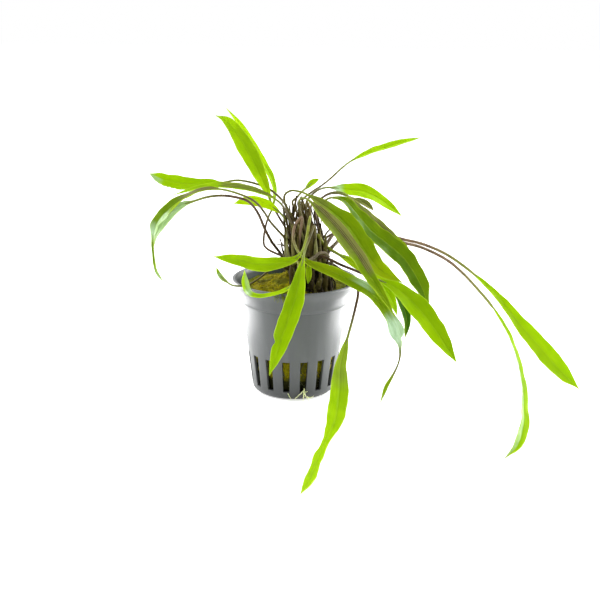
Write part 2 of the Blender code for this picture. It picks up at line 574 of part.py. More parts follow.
def facing(leaf, share):
    """The way that the upper side looks at a share of the blade's length."""
    faces = [Vector(face).normalized() for face in leaf.faces]
    if len(faces) == 1:
        return faces[0]
    place = share * (len(faces) - 1)
    i = min(int(place), len(faces) - 2)
    return faces[i].lerp(faces[i + 1], place - i)


def blade_ring(leaf, route, length, share):
    """Six points round the blade: each edge, and the midrib above and below."""
    along = route.tangent(length)
    up = facing(leaf, share)
    up = (up - along * up.dot(along)).normalized()
    side = along.cross(up)
    half = blade_width(leaf, share) / 2
    middle = route.point(length)
    edge = up * (half * 2 * BLADE_KEEL)
    thick, thin = up * (BLADE_THICKNESS / 2), up * (BLADE_EDGE / 2)
    return [
        middle - side * half + edge + thin,
        middle + thick,
        middle + side * half + edge + thin,
        middle + side * half + edge - thin,
        middle - thick,
        middle - side * half + edge - thin,
    ]


def make_blade(leaf, route):
    start = route.knot_lengths[leaf.blade_from] + GAP * 0.7
    rings = []
    longest = min(BLADE_SPACING, (route.length - start) / BLADE_RINGS)
    for length in steps_along(route, start, route.length, longest):
        share = (length - start) / (route.length - start)
        rings.append(blade_ring(leaf, route, length, share))
    mesh = lofted(f"leaf_{leaf.name}", rings)
    name, colour = "leaf_green", LEAF_GREEN
    if leaf.name in BRIGHT_LEAVES:
        name, colour = "leaf_bright", LEAF_BRIGHT
    if leaf.name in DARK_LEAVES:
        name, colour = "leaf_dark", LEAF_DARK
    return finished(f"leaf_{leaf.name}", mesh, material(name, colour, 0.4), 60)


def strand(name, start, end, radius):
    """A short tapering root from one point to another."""
    start, end = Vector(start), Vector(end)
    along = (end - start).normalized()
    side = along.orthogonal().normalized()
    other = along.cross(side)
    rings = []
    for share in (0.0, 0.5, 1.0):
        size = radius * (1 - 0.45 * share)
        middle = start.lerp(end, share) + Vector((0, 0, 0.35)) * math.sin(math.pi * share)
        rings.append([
            middle + side * (size * math.cos(turn)) + other * (size * math.sin(turn))
            for turn in (2 * math.pi * i / 5 for i in range(5))
        ])
    return lofted(name, rings)


def make_roots():
    """A tuft of young roots that comes out of a slot and reaches the surface below."""
    knot = bmesh.new()
    bmesh.ops.create_icosphere(knot, subdivisions=1, radius=ROOT_KNOT_RADIUS * MM)
    bmesh.ops.translate(knot, verts=knot.verts, vec=Vector(ROOT_KNOT) * MM)
    mesh = bpy.data.meshes.new("root_tuft")
    knot.to_mesh(mesh)
    knot.free()
    tuft = finished("root_tuft", mesh, material("root", ROOT_CREAM, 0.6))
    for i, tip in enumerate([ROOT_OUTLET, *ROOT_TIPS]):
        name = f"root_strand_{i}"
        part = bpy.data.objects.new(name, strand(name, ROOT_KNOT, tip, ROOT_RADIUS))
        bpy.context.scene.collection.objects.link(part)
        part.hide_render = True
        part.display_type = "WIRE"
        join = tuft.modifiers.new(part.name, "BOOLEAN")
        join.operation = "UNION"
        join.solver = "EXACT"
        join.object = part
    return tuft


def main():
    for leftover in list(bpy.data.objects):
        bpy.data.objects.remove(leftover)
    make_pot()
    make_wool()
    make_crown()
    make_roots()
    for leaf in LEAVES:
        route = Route(leaf.knots)
        make_stalk(leaf, route)
        make_blade(leaf, route)


main()
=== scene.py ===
"""The look of a potted cryptocoryne: fine leaves, stalks, wool and pot on the fixed frame, with a pale studio."""
import math
import random
from collections import namedtuple

import bpy
import numpy as np
from bpy.props import FloatProperty, FloatVectorProperty, IntProperty, PointerProperty
from mathutils import Matrix, Vector, noise


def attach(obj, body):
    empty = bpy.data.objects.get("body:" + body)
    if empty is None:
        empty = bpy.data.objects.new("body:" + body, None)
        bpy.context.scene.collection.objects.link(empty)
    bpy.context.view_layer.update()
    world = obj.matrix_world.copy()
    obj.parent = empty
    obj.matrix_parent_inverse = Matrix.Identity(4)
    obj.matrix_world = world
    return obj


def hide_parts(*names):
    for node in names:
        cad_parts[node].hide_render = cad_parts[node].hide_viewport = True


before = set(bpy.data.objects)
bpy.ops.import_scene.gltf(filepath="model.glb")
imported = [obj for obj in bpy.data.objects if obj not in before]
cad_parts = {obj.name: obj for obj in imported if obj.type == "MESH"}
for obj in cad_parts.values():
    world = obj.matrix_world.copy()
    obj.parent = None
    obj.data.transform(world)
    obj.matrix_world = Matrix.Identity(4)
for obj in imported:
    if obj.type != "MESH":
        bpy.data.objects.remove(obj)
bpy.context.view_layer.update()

bl_info = {
    "name": "Potted cryptocoryne",
    "version": (1, 0, 0),
    "blender": (4, 5, 0),
    "location": "3D View > Sidebar > Plant",
    "description": "Makes the leaves, stalks, crown, roots, wool and net pot of an aquarium cryptocoryne",
    "category": "Add Mesh",
}

MM = 0.001
BODY = "root"

# How wide a blade is at even steps from its foot to its tip, as shares of its greatest width.
OUTLINES = {
    "lance": (0.0, 0.42, 0.74, 0.94, 1.0, 0.94, 0.76, 0.46, 0.0),
    "early": (0.0, 0.62, 0.95, 1.0, 0.94, 0.82, 0.62, 0.36, 0.0),
    "late": (0.0, 0.2, 0.38, 0.6, 0.82, 0.98, 0.98, 0.7, 0.0),
        "thread": (0.0, 0.3, 0.5, 0.62, 0.68, 0.7, 0.7, 0.68, 0.64, 0.72, 0.96, 0.24, 0.06, 0.06, 0.16, 0.2, 0.0),
    "curl": (0.0, 0.4, 0.5, 0.52, 0.5, 0.6, 0.95, 0.85, 0.0),
    "twisted": (0.0, 0.3, 0.52, 0.76, 0.94, 1.0, 0.98, 0.9, 0.72, 0.4, 0.36, 0.5, 0.4, 0.46, 0.5, 0.3, 0.0),
    "broad": (0.0, 0.5, 0.7, 0.84, 0.96, 1.0, 0.9, 0.72, 0.0),
    "drooping": (0.0, 0.42, 0.6, 0.72, 0.8, 0.86, 0.91, 0.96, 1.0, 0.92, 0.5, 0.34, 0.36, 0.32, 0.2, 0.22, 0.0),
    "strap": (0.0, 0.5, 0.68, 0.8, 0.92, 1.0, 1.0, 0.75, 0.0),
    "spoon": (0.0, 0.42, 0.7, 0.88, 0.98, 1.0, 0.95, 0.78, 0.2),
}

# Marks on a blade: what it is, where along the blade it starts and ends, which half it is on (0 is both), how strong.
# A dark mark is painted shade.
# A torn mark frays the margin; a notch is a dent there, with its place along the blade and its length.
# A pale mark paints a whitish sheen into the colour and gives the blade a glossy coat there.
Mark = namedtuple("Mark", "kind start end half strength", defaults=[0, 1.0])

# name, greatest width in mm, knot where the blade starts, knots in mm from the crown to the tip, ways that the upper
# side looks from the blade's foot to its tip, outline, leaf colour, stalk colour, how far the halves fold up,
# how high the margin waves, and marks.
Leaf = namedtuple(
    "Leaf",
    "name width blade_from knots faces outline colour stalk fold wave marks",
    defaults=["lance", "green", "brown", 0.26, 0.3, ()],
)

LEAVES = [
    Leaf("upper_left", 7.4, 3,
         [(-1.5, 4, 57), (-3, 5, 68), (-8.5, 5, 78), (-11, 6, 83), (-12.2, 6.5, 86.5), (-16.8, 9.5, 95.5),
          (-21.4, 13, 103.5), (-26.9, 17, 111.5), (-31.2, 20, 115.5), (-35.5, 22, 117)],
         [(0.3, -0.9, 0.4), (0.1, -1, 0.3), (-0.2, -0.8, 0.6)],
         "lance", "bright", "brown", 0.2, 0.3, [Mark("dark", 0.1, 0.75, 1, 0.35), Mark("yellow", 0.0, 0.25, 0, 0.5)]),
    Leaf("upper_left_rear", 3.9, 5,
         [(-3, 6.5, 57.8), (-8, 10, 58.2), (-13.5, 14, 60.5), (-14, 16, 65), (-12.5, 18, 72), (-10, 20, 78),
          (-9.5, 22, 84.5), (-11.2, 24, 90), (-14.5, 26, 95.5), (-19.8, 28, 104), (-25.5, 31, 112.5),
          (-31.5, 34, 119)],
         [(0.7, -0.8, 0.1), (0.6, -0.8, 0.4)],
         "lance", "bright", "brown", 0.2, 0.2, [Mark("yellow", 0.4, 1.0, 0, 0.6)]),
    Leaf("far_left", 6.0, 7,
         [(0.5, 6, 57), (-1, 7.5, 70), (-4.5, 8, 80.5), (-10, 9.5, 86), (-15.5, 10.5, 88.5),
          (-21, 10.5, 90), (-26, 10.5, 90.5), (-32, 10, 89.5), (-38, 9.5, 89.2), (-44, 9, 89),
          (-51, 8, 89.5), (-57, 7.5, 91), (-63, 7, 93.5)],
         [(0, -0.6, 0.8), (0, -0.8, 0.5), (0, -1, 0.3), (-0.2, -1, 0.2)],
         "broad", "bright", "olive", 0.2, 0.25, [Mark("torn", 0.62, 0.9, -1, 0.2), Mark("pale", 0.82, 1.0, -1, 0.6), Mark("pale", 0.95, 1.0, 0, 0.7)]),
    Leaf("left_folded", 5.2, 3,
         [(1, 3, 57), (-0.5, 2.5, 70), (-5, 1.5, 80.5), (-8.5, 1.5, 84), (-13.5, 1.5, 86.2),
          (-20.5, 1.5, 88), (-28, 1.5, 88.9), (-35.5, 1.5, 88.9), (-43.5, 1.5, 87.6), (-52, 1.5, 85.5)],
         [(0, -0.5, 0.9), (0, -0.2, 1)],
         "lance", "bright", "brown", 0.5, 0.15, [Mark("brown", 0.0, 0.55, 1, 0.8), Mark("yellow", 0.3, 0.8, -1, 0.6)]),
    Leaf("left_yellow", 4.4, 3,
         [(-1.5, 0, 57), (-2.5, -0.5, 68), (-4, -2, 75.5), (-7, -3, 79.5), (-11, -3.6, 82.3), (-16, -4, 84),
          (-21, -4.5, 84.3), (-26, -5, 83.2)],
         [(0.4, -0.9, 0.3), (0, -1, 0.3)],
         "lance", "bright", "olive", 0.2, 0.2, [Mark("yellow", 0.0, 1.0, 0, 1.0)]),
    Leaf("left_drooping", 5.9, 7,
         [(-2.5, -2.5, 57), (-4.5, -5, 68.5), (-7, -7, 72), (-10.5, -9, 76.5), (-13.5, -10.5, 81.5),
          (-17, -11.5, 85.5), (-23, -12.5, 88.5), (-30.5, -13, 90.5), (-38, -13, 90), (-45.4, -12.5, 87),
          (-52.6, -12, 81.6), (-58, -11, 75), (-59.6, -10, 67.5), (-59.5, -9, 60), (-59, -8, 54.5),
          (-56.5, -7, 49.5)],
         [(-0.2, -0.3, 0.9), (0, -0.2, 1), (-0.3, -0.6, 0.7), (-0.7, -0.7, 0.2), (-0.8, -0.6, 0),
          (-0.2, -1, 0)],
         "drooping", "green", "olive", 0.3, 0.3,
         [Mark("dark", 0.1, 0.6, 1, 0.6), Mark("brown", 0.0, 0.3, 1, 0.8), Mark("pale", 0.42, 0.66, -1, 0.6),
          Mark("pale", 0.57, 0.66, 0, 0.8), Mark("dark", 0.68, 0.86, 0, 1.0), Mark("yellow", 0.05, 0.35, -1, 0.4),
          Mark("pale", 0.9, 1.0, 0, 0.4)]),
    Leaf("left_arching", 4.4, 9,
         [(-4, 1.5, 57.3), (-7, 1, 61.5), (-10, -1, 66), (-13, -4, 72.5), (-16, -6.5, 80), (-19.5, -7.5, 84.5),
          (-23, -8, 86), (-29.5, -8, 87), (-36, -8, 86.5), (-43, -7.5, 84.3), (-47, -7, 82.8),
          (-52, -6.5, 79.3), (-56, -6, 74.5), (-59, -5.5, 69), (-60.5, -5, 63.5)],
         [(-0.2, -0.9, 0.5), (-0.4, -0.9, 0.3), (-0.9, -0.4, 0.1)],
         "lance", "green", "brown", 0.2, 0.2, [Mark("pale", 0.0, 1.0, 0, 0.55)]),
    Leaf("front_left", 5.8, 7,
         [(5, -6, 57), (5, -7.5, 68), (6, -9, 77), (6.2, -12.5, 79.5), (5.5, -14.5, 76.5), (5, -16, 73),
          (4.2, -17.5, 69.5), (2.5, -19, 65.5), (-1, -21, 63), (-7, -23, 62), (-13.5, -25, 62),
          (-20, -27, 63.5), (-26, -28.5, 65), (-32.4, -30.5, 66.3)],
         [(0.2, -0.6, 0.8), (0, -1, 0.3), (0, -1, 0.3)],
         "lance", "bright", "green", 0.18, 0.25, [Mark("dark", 0.3, 0.9, -1, 0.15)]),
    Leaf("front_hanging", 7.8, 6,
         [(8, -6.5, 57), (8.5, -8, 67), (8, -12, 75.5), (6.8, -15.5, 73.5), (5.5, -19, 70.5),
          (4.2, -22, 67.5), (3.5, -25, 64.5), (2.5, -29, 60), (1.1, -33, 52.5), (-1.6, -37, 44),
          (-4.6, -40, 35.5), (-7.2, -42, 27.5), (-9.5, -43, 20.5)],
         [(-0.1, -0.8, 0.6), (0.1, -1, 0.3), (-0.2, -1, 0.2)],
         "lance", "bright", "olive", 0.2, 0.3, [Mark("dark", 0.1, 0.72, 1, 0.35), Mark("notch", 0.73, 0.025, 1, 0.3)]),
    Leaf("front_right_glossy", 6.8, 7,
         [(1.5, -5.5, 57), (2, -7, 70), (2.8, -9, 78.5), (0.5, -10.5, 76.5), (-0.7, -12, 73),
          (-0.6, -13.5, 70), (0.6, -15, 66.5), (2.3, -16.5, 64), (5.5, -18, 61.5), (11.5, -20, 59.6),
          (17.5, -21, 57.4), (24, -22, 54.5), (31, -22.5, 50.6), (36.4, -22.5, 44.8), (40.5, -22.5, 38.5),
          (43, -22.5, 33), (44.5, -23, 27), (44.5, -23, 21.5), (42.5, -23, 15), (39.5, -23, 9),
          (37.3, -23, 1.8)],
         [(0.1, -0.8, 0.6), (0.1, -0.9, 0.4), (0.3, -0.9, 0.3), (-0.4, -0.9, 0.1), (0.3, -0.9, 0)],
         "thread", "green", "tan", 0.22, 0.3,
         [Mark("pale", 0.3, 0.38, -1, 0.7), Mark("pale", 0.54, 0.7, 0, 0.95), Mark("dark", 0.53, 0.68, 1, 0.9),
          Mark("brown", 0.69, 0.86, 0, 0.9), Mark("yellow", 0.0, 0.2, 0, 0.4), Mark("notch", 0.66, 0.012, -1, 0.5)]),
    Leaf("rim_curl", 3.2, 4,
         [(-0.5, -7, 57.6), (1.5, -13, 60.2), (1.6, -16, 57.5), (1, -20, 55), (-1.3, -24.5, 53),
          (-5.5, -29, 51.5), (-11, -32, 51), (-15.3, -33.5, 51.2), (-18.3, -34, 52.7), (-19.7, -34, 56.5),
          (-19.8, -34, 61.5)],
         [(0.2, -0.4, 0.9), (0, -0.4, 0.9), (0.3, -0.8, 0.5), (0.6, -0.8, 0)],
         "curl", "bright", "green", 0.2, 0.2, [Mark("pale", 0.66, 0.74, 0, 0.8), Mark("pale", 0.7, 0.95, 1, 0.4), Mark("yellow", 0.0, 0.45, 0, 0.7)]),
    Leaf("small_left", 2.0, 8,
         [(-3.5, -4.5, 57.7), (-6.7, -8, 58.2), (-11, -10, 55.5), (-13.7, -12, 53.7), (-16.5, -14, 52),
          (-19.2, -17, 51.2), (-21.3, -19.5, 51.3), (-25.3, -22, 52.1), (-28, -23, 54), (-30.3, -23.5, 56.5),
          (-32, -24, 60)],
         [(-0.3, -0.9, 0.3), (-0.5, -0.8, 0.2)],
         "lance", "green", "olive", 0.3, 0.1, [Mark("pale", 0.0, 0.7, 0, 0.35)]),
    Leaf("striped", 6.6, 5,
         [(5.5, -3, 57), (4, -4.5, 72), (1.5, -6, 82.5), (2, -7.5, 86), (4, -8.5, 86.5), (6, -9.5, 85.5),
          (9.5, -12, 82.5), (15, -15, 77.5), (20, -18, 72), (25, -21, 66), (29.5, -23.5, 59.5),
          (34, -25.5, 53), (37.5, -27, 48), (41.5, -28, 41.5)],
         [(0.3, -0.8, 0.5), (0.2, -0.9, 0.4)],
         "early", "green", "olive", 0.26, 0.3, [Mark("brown", 0.0, 0.66, -1, 1.0), Mark("brown", 0.0, 0.5, 0, 0.45), Mark("dark", 0.66, 0.8, -1, 0.4)]),
    Leaf("upper_right_front", 9.6, 6,
         [(3, -2, 57), (1.5, -2, 72), (-4.5, -2, 83), (-4.7, -2, 86.5), (-2.2, -2.5, 88.5), (0.7, -3, 88.5),
          (4.5, -4, 87.5), (10.5, -5.5, 84), (17, -7, 79.5), (23, -9, 74), (27.5, -12, 68), (32, -15, 62),
          (36.5, -17.5, 58), (45, -19, 53.5)],
         [(0.3, -0.6, 0.8), (0.3, -0.8, 0.5), (0.2, -0.9, 0.3)],
         "lance", "green", "olive", 0.22, 0.35, [Mark("brown", 0.0, 0.2, 0, 0.5), Mark("yellow", 0.74, 1.0, 0, 0.7)]),
    Leaf("right_low", 9.3, 7,
         [(10.5, -5.5, 57.4), (10, -9, 60.5), (11.7, -10, 62), (14.6, -10.5, 61), (19, -11, 59),
          (24, -11, 57), (30, -11, 54.5), (35.5, -11.5, 52.5), (41, -12, 50.5), (47, -13.5, 46.5),
          (53, -16, 41), (58.5, -18.5, 34.5), (63.5, -21, 27.5), (68.5, -24, 20.5)],
         [(0.3, -0.8, 0.5), (0.2, -0.9, 0.35), (0.2, -0.9, 0.3)],
         "lance", "bright", "brown", 0.2, 0.3, [Mark("dark", 0.2, 1.0, -1, 0.4)]),
    Leaf("right_dark", 8.8, 4,
         [(9, 3, 57), (10, 4, 70), (8.5, 5, 78.5), (12, 6.5, 82.5), (16, 8, 84), (21.5, 9, 82.5),
          (27, 10, 76.5), (33.5, 11, 69), (41, 11.5, 63), (47.5, 11.5, 57.5), (52.5, 11, 51),
          (56.5, 10.5, 44), (59.5, 10, 36.5)],
         [(0.3, -0.8, 0.6), (0.4, -0.9, 0.3), (0.2, -1, 0.2)],
         "spoon", "green", "brown", 0.2, 0.35, [Mark("dark", 0.0, 1.0, 1, 1.0), Mark("dark", 0.0, 1.0, -1, 0.45)]),
    Leaf("right_rear", 5.8, 5,
         [(9, 6.5, 57), (10.5, 8.5, 70), (9, 10, 80), (12.5, 11.5, 84), (17, 13, 85.5), (21.5, 14, 84.5),
          (27.3, 15.5, 79), (34.3, 16, 72.7), (41.3, 16, 65.9), (47.4, 16, 59.8), (52.7, 16, 53.2),
          (57.6, 16, 46.4), (60, 16, 38.5)],
         [(0.5, -0.6, 0.6), (0.5, -0.8, 0.4), (0.3, -0.9, 0.3)],
         "lance", "green", "brown", 0.2, 0.25, [Mark("brown", 0.0, 0.5, -1, 0.8)]),
    Leaf("top_right_bright", 6.8, 5,
         [(6.5, 8.5, 57), (7.5, 11, 70), (4.5, 15, 79.5), (7.5, 19, 83.5), (11.5, 22, 85.5),
          (16, 24.5, 85.5), (21.5, 26, 84.6), (29, 27.5, 83.8), (36, 28.5, 81), (42, 29, 77), (48.5, 29, 72)],
         [(0.1, -0.7, 0.7), (0.3, -0.8, 0.5)],
         "early", "bright", "olive", 0.2, 0.25, [Mark("pale", 0.0, 0.14, 0, 0.9)]),
    Leaf("small_withered", 3.2, 7,
         [(6, 5, 57), (7, 7, 71), (6.7, 13, 79), (10.2, 16, 81.5), (14.6, 19, 83.5), (19, 21, 83.5),
          (22.7, 22, 82.3), (26.5, 22.8, 80.8), (31, 23.5, 78.8), (35, 24, 75.7)],
         [(0.2, -0.8, 0.5)],
         "lance", "green", "brown", 0.4, 0.3, [Mark("brown", 0.0, 1.0, 0, 0.75)]),
    Leaf("top_arching", 5.0, 7,
         [(3.5, 7.5, 57), (3.2, 11, 72), (2.8, 18, 80.5), (7, 21, 84), (11, 25, 86), (15, 29, 88.5),
          (20.5, 33, 93), (25, 36, 96), (33.5, 39, 99.5), (45, 42, 102.9), (56.5, 44, 106)],
         [(0, -0.3, 1), (-0.2, -0.5, 0.9)],
         "lance", "bright", "olive", 0.3, 0.15, []),
    Leaf("top_short", 2.8, 5,
         [(4, 1.5, 57), (3, 4, 73), (-1.5, 8, 81.5), (0.5, 10, 83.5), (2.5, 12, 85.5), (4.5, 14, 87),
          (7, 16, 89), (10, 18, 90.5)],
         [(-0.2, -0.8, 0.6)],
         "lance", "bright", "olive", 0.25, 0.1, []),
    Leaf("far_right", 8.4, 10,
         [(12.5, 2.5, 57.3), (13.5, 5, 63), (15.6, 9.5, 66), (19, 15, 68.5), (25, 21, 70), (33.5, 26, 67.5),
          (41, 28, 64), (48, 26, 62.2), (57, 20, 61.3), (67, 12, 58.5), (77.5, 7, 52), (87, 2, 44.4),
          (93.7, 0, 37.2), (100.5, -1.5, 29.1), (109.2, -2.5, 19.6), (117.3, -3, 10.8), (127, -3, 1.5)],
         [(0.3, -0.8, 0.5), (0.2, -0.9, 0.35), (0.2, -0.9, 0.35)],
         "late", "bright", "tan", 0.2, 0.2, [Mark("dark", 0.2, 1.0, 1, 0.25)]),
    Leaf("far_right_low", 4.6, 12,
         [(13.5, -0.5, 57.3), (14.8, 2, 62), (18, 6, 64.5), (21, 11, 66.8), (27, 17, 67.8), (34.5, 21.5, 65.4),
          (42, 23, 62.7), (49, 21, 61.4), (56.2, 14, 61), (66, 4, 58), (72.5, -2, 53.5),
          (78.5, -10, 48), (82.8, -16, 43.5), (85.6, -22, 39.5), (88.7, -28, 34), (90.8, -36, 27.5),
          (91.8, -44, 20.5), (91.4, -52, 13.8), (89.8, -61, 7.6), (86, -69.5, 3), (80.5, -75, 0.6)],
         [(0.5, -0.4, 0.7), (0.8, -0.4, 0.45), (0.7, -0.5, 0.5), (0.1, -0.3, 1)],
         "strap", "bright", "tan", 0.35, 0.2, [Mark("pale", 0.25, 1.0, 1, 0.45), Mark("brown", 0.96, 1.0, 0, 0.3)]),
    Leaf("floor_front", 7.6, 8,
         [(12, -4, 57.8), (15, -6.2, 58.2), (18.5, -7.7, 56.5), (22.5, -9, 54), (25.8, -10.5, 52),
          (27, -12.5, 47.5), (26.1, -15, 42.5), (24.4, -20, 37), (22.5, -25, 31.5), (21, -29, 27),
          (19.4, -34, 21.5), (19, -40, 15.7), (18.2, -48, 11), (16.8, -57, 7.5), (13.9, -67, 4.4),
          (10.6, -77, 2.2), (8.5, -87, 1), (6.5, -97, 0.6), (3.5, -107, 0.6)],
         [(0.3, -0.8, 0.5), (0.1, -0.6, 0.8), (-0.1, -0.3, 1), (0, 0, 1), (0, 0, 1)],
         "twisted", "bright", "brown", 0.12, 0.25, [Mark("brown", 0.0, 0.24, 0, 0.35), Mark("dark", 0.15, 0.5, -1, 0.25)]),
    Leaf("right_yellow", 6.2, 5,
         [(10.5, 0, 57), (11, -1, 66), (9.7, -3, 69.7), (12, -4, 66.3), (15, -5, 64), (18.5, -5, 62),
          (23, -5, 59.5), (28.5, -5, 56.5), (34, -5.5, 52.5), (39, -6.5, 47), (42.5, -7, 41),
          (44.5, -7.5, 35.5)],
         [(0.2, -0.8, 0.6), (0.3, -0.9, 0.4)],
         "lance", "bright", "green", 0.2, 0.2, [Mark("yellow", 0.0, 0.6, 0, 0.6)]),
    Leaf("right_hidden", 4.6, 7,
         [(11.5, -2.5, 57), (12.5, -2, 66), (14, 0, 68.5), (19, 2, 70), (25, 3, 67.5), (30.5, 3, 62),
          (35.5, 2, 55.5), (40, 1, 50.5), (44.5, 0.5, 44.5), (47.5, 0, 38.5), (49.5, -0.5, 31),
          (49, -1, 23.5)],
         [(0.5, -0.8, 0.3), (0.5, -0.9, 0)],
         "lance", "dark", "brown", 0.25, 0.2, []),
    Leaf("young_bract", 2.4, 2,
         [(6.5, -8.3, 57.4), (6.2, -11.5, 59.6), (5.9, -14.2, 59.8), (5.9, -16, 58), (6, -16.8, 55.2),
          (5.6, -17, 52)],
         [(0, -1, 0.3)],
         "lance", "bright", "green", 0.3, 0.05, [Mark("yellow", 0.0, 1.0, 0, 0.5)]),
]

# pale marks paint a sheen into the colour, dark marks paint shade
MARK_KINDS = ("pale", "brown", "dark", "yellow")


# Settings that a user would change


class PotSettings(bpy.types.PropertyGroup):
    """Sizes and colour of the net pot."""

    height: FloatProperty(name="Height", description="From the underside to the rim", default=0.05, unit="LENGTH")
    rim_radius: FloatProperty(name="Rim radius", description="Outer radius of the rim", default=0.027, unit="LENGTH")
    wall: FloatProperty(name="Wall", description="Thickness of the plastic", default=0.0011, unit="LENGTH")
    bevel: FloatProperty(name="Edge", description="Rounding of the edges", default=0.00018, unit="LENGTH")
    colour: FloatVectorProperty(name="Colour", description="Grey of the plastic", subtype="COLOR", size=3,
                                default=(0.064, 0.069, 0.07))


class PlantSettings(bpy.types.PropertyGroup):
    """Sizes and colours of the leaves, stalks and crown."""

    leaf_thickness: FloatProperty(name="Leaf thickness", description="Thickness of a blade", default=0.00026,
                                  unit="LENGTH")
    stalk_foot: FloatProperty(name="Stalk foot", description="Radius of a stalk at the crown", default=0.00056,
                              unit="LENGTH")
    stalk_top: FloatProperty(name="Stalk top", description="Radius of a stalk at its blade", default=0.00046,
                             unit="LENGTH")
    dead_stalks: IntProperty(name="Dead stalks", description="How many old stalks stand in the clump", default=190,
                             min=0, max=300)
    bright: FloatVectorProperty(name="Bright leaf", description="Colour of the young leaves", subtype="COLOR", size=3,
                                default=(0.34, 0.565, 0.0015))
    green: FloatVectorProperty(name="Green leaf", description="Colour of the grown leaves", subtype="COLOR", size=3,
                               default=(0.23, 0.385, 0.003))
    dark: FloatVectorProperty(name="Dark leaf", description="Colour of the leaves in shade", subtype="COLOR", size=3,
                              default=(0.05, 0.16, 0.003))


class WoolSettings(bpy.types.PropertyGroup):
    """Sizes and colours of the mineral wool and the roots in it."""

    top: FloatProperty(name="Wool top", description="Height of the wool at the pot's wall", default=0.0466,
                       unit="LENGTH")
    mound: FloatProperty(name="Mound", description="Rise of the wool beside the crown", default=0.0055, unit="LENGTH")
    fibres: IntProperty(name="Fibres", description="How many loose fibres lie on the wool", default=520, min=0)
    colour: FloatVectorProperty(name="Colour", description="Ochre of the stained wool", subtype="COLOR", size=3,
                                default=(0.19, 0.165, 0.0015))


class StageSettings(bpy.types.PropertyGroup):
    """Floor, lights and camera."""

    floor_size: FloatProperty(name="Floor", description="Side of the floor", default=8.0, unit="LENGTH")
    front: FloatProperty(name="Front light", description="Brightness of the room on the camera's side", default=0.3)
    key: FloatProperty(name="Key light", description="Power of the lamp above the front, in watts", default=3.0)
    sides: FloatProperty(name="Side lights", description="Power of the left lamp, in watts", default=7.0)
    back: FloatProperty(name="Back light", description="Power of the lamp behind, in watts", default=3.0)
    edge: FloatProperty(name="Edge light", description="Power of the strip that lights the pot's left side, in watts",
                        default=0.085)
    lens: FloatProperty(name="Lens", description="Focal length on a 36 mm sensor", default=61.85)
    distance: FloatProperty(name="Distance", description="From the camera to the point it looks at", default=0.45,
                            unit="LENGTH")
    elevation: FloatProperty(name="Elevation", description="How far the camera looks down",
                             default=math.radians(15.873), subtype="ANGLE")
    roll: FloatProperty(name="Roll", description="Turn of the camera about its own axis",
                        default=math.radians(0.779), subtype="ANGLE")


# Shader helpers


class Wire:
    """A shader socket that takes part in Python sums."""

    def __init__(self, finish, socket):
        self.finish = finish
        self.socket = socket

    def maths(self, operation, first, second=0.0):
        return self.finish.node("ShaderNodeMath", {"operation": operation}, [first, second])

    def __add__(self, other):
        return self.maths("ADD", self, other)

    def __radd__(self, other):
        return self.maths("ADD", other, self)

    def __sub__(self, other):
        return self.maths("SUBTRACT", self, other)

    def __rsub__(self, other):
        return self.maths("SUBTRACT", other, self)

    def __mul__(self, other):
        return self.maths("MULTIPLY", self, other)

    def __rmul__(self, other):
        return self.maths("MULTIPLY", other, self)

    def __truediv__(self, other):
        return self.maths("DIVIDE", self, other)

    def __pow__(self, other):
        return self.maths("POWER", self, other)

    def __abs__(self):
        return self.maths("ABSOLUTE", self)

    def part(self):
        """What is left after the whole number."""
        return self.maths("FRACT", self)

    def limited(self):
        """Held between 0 and 1."""
        return self.finish.node("ShaderNodeClamp", {}, {"Value": self})

    def between(self, low, high):
        """0 below low, 1 above high, smooth in between; falls where low is above high."""
        ends = {"From Min": min(low, high), "From Max": max(low, high)}
        sides = {"To Min": 0.0, "To Max": 1.0} if low < high else {"To Min": 1.0, "To Max": 0.0}
        return self.finish.node("ShaderNodeMapRange", {"interpolation_type": "SMOOTHSTEP"},
                                {"Value": self, **ends, **sides})


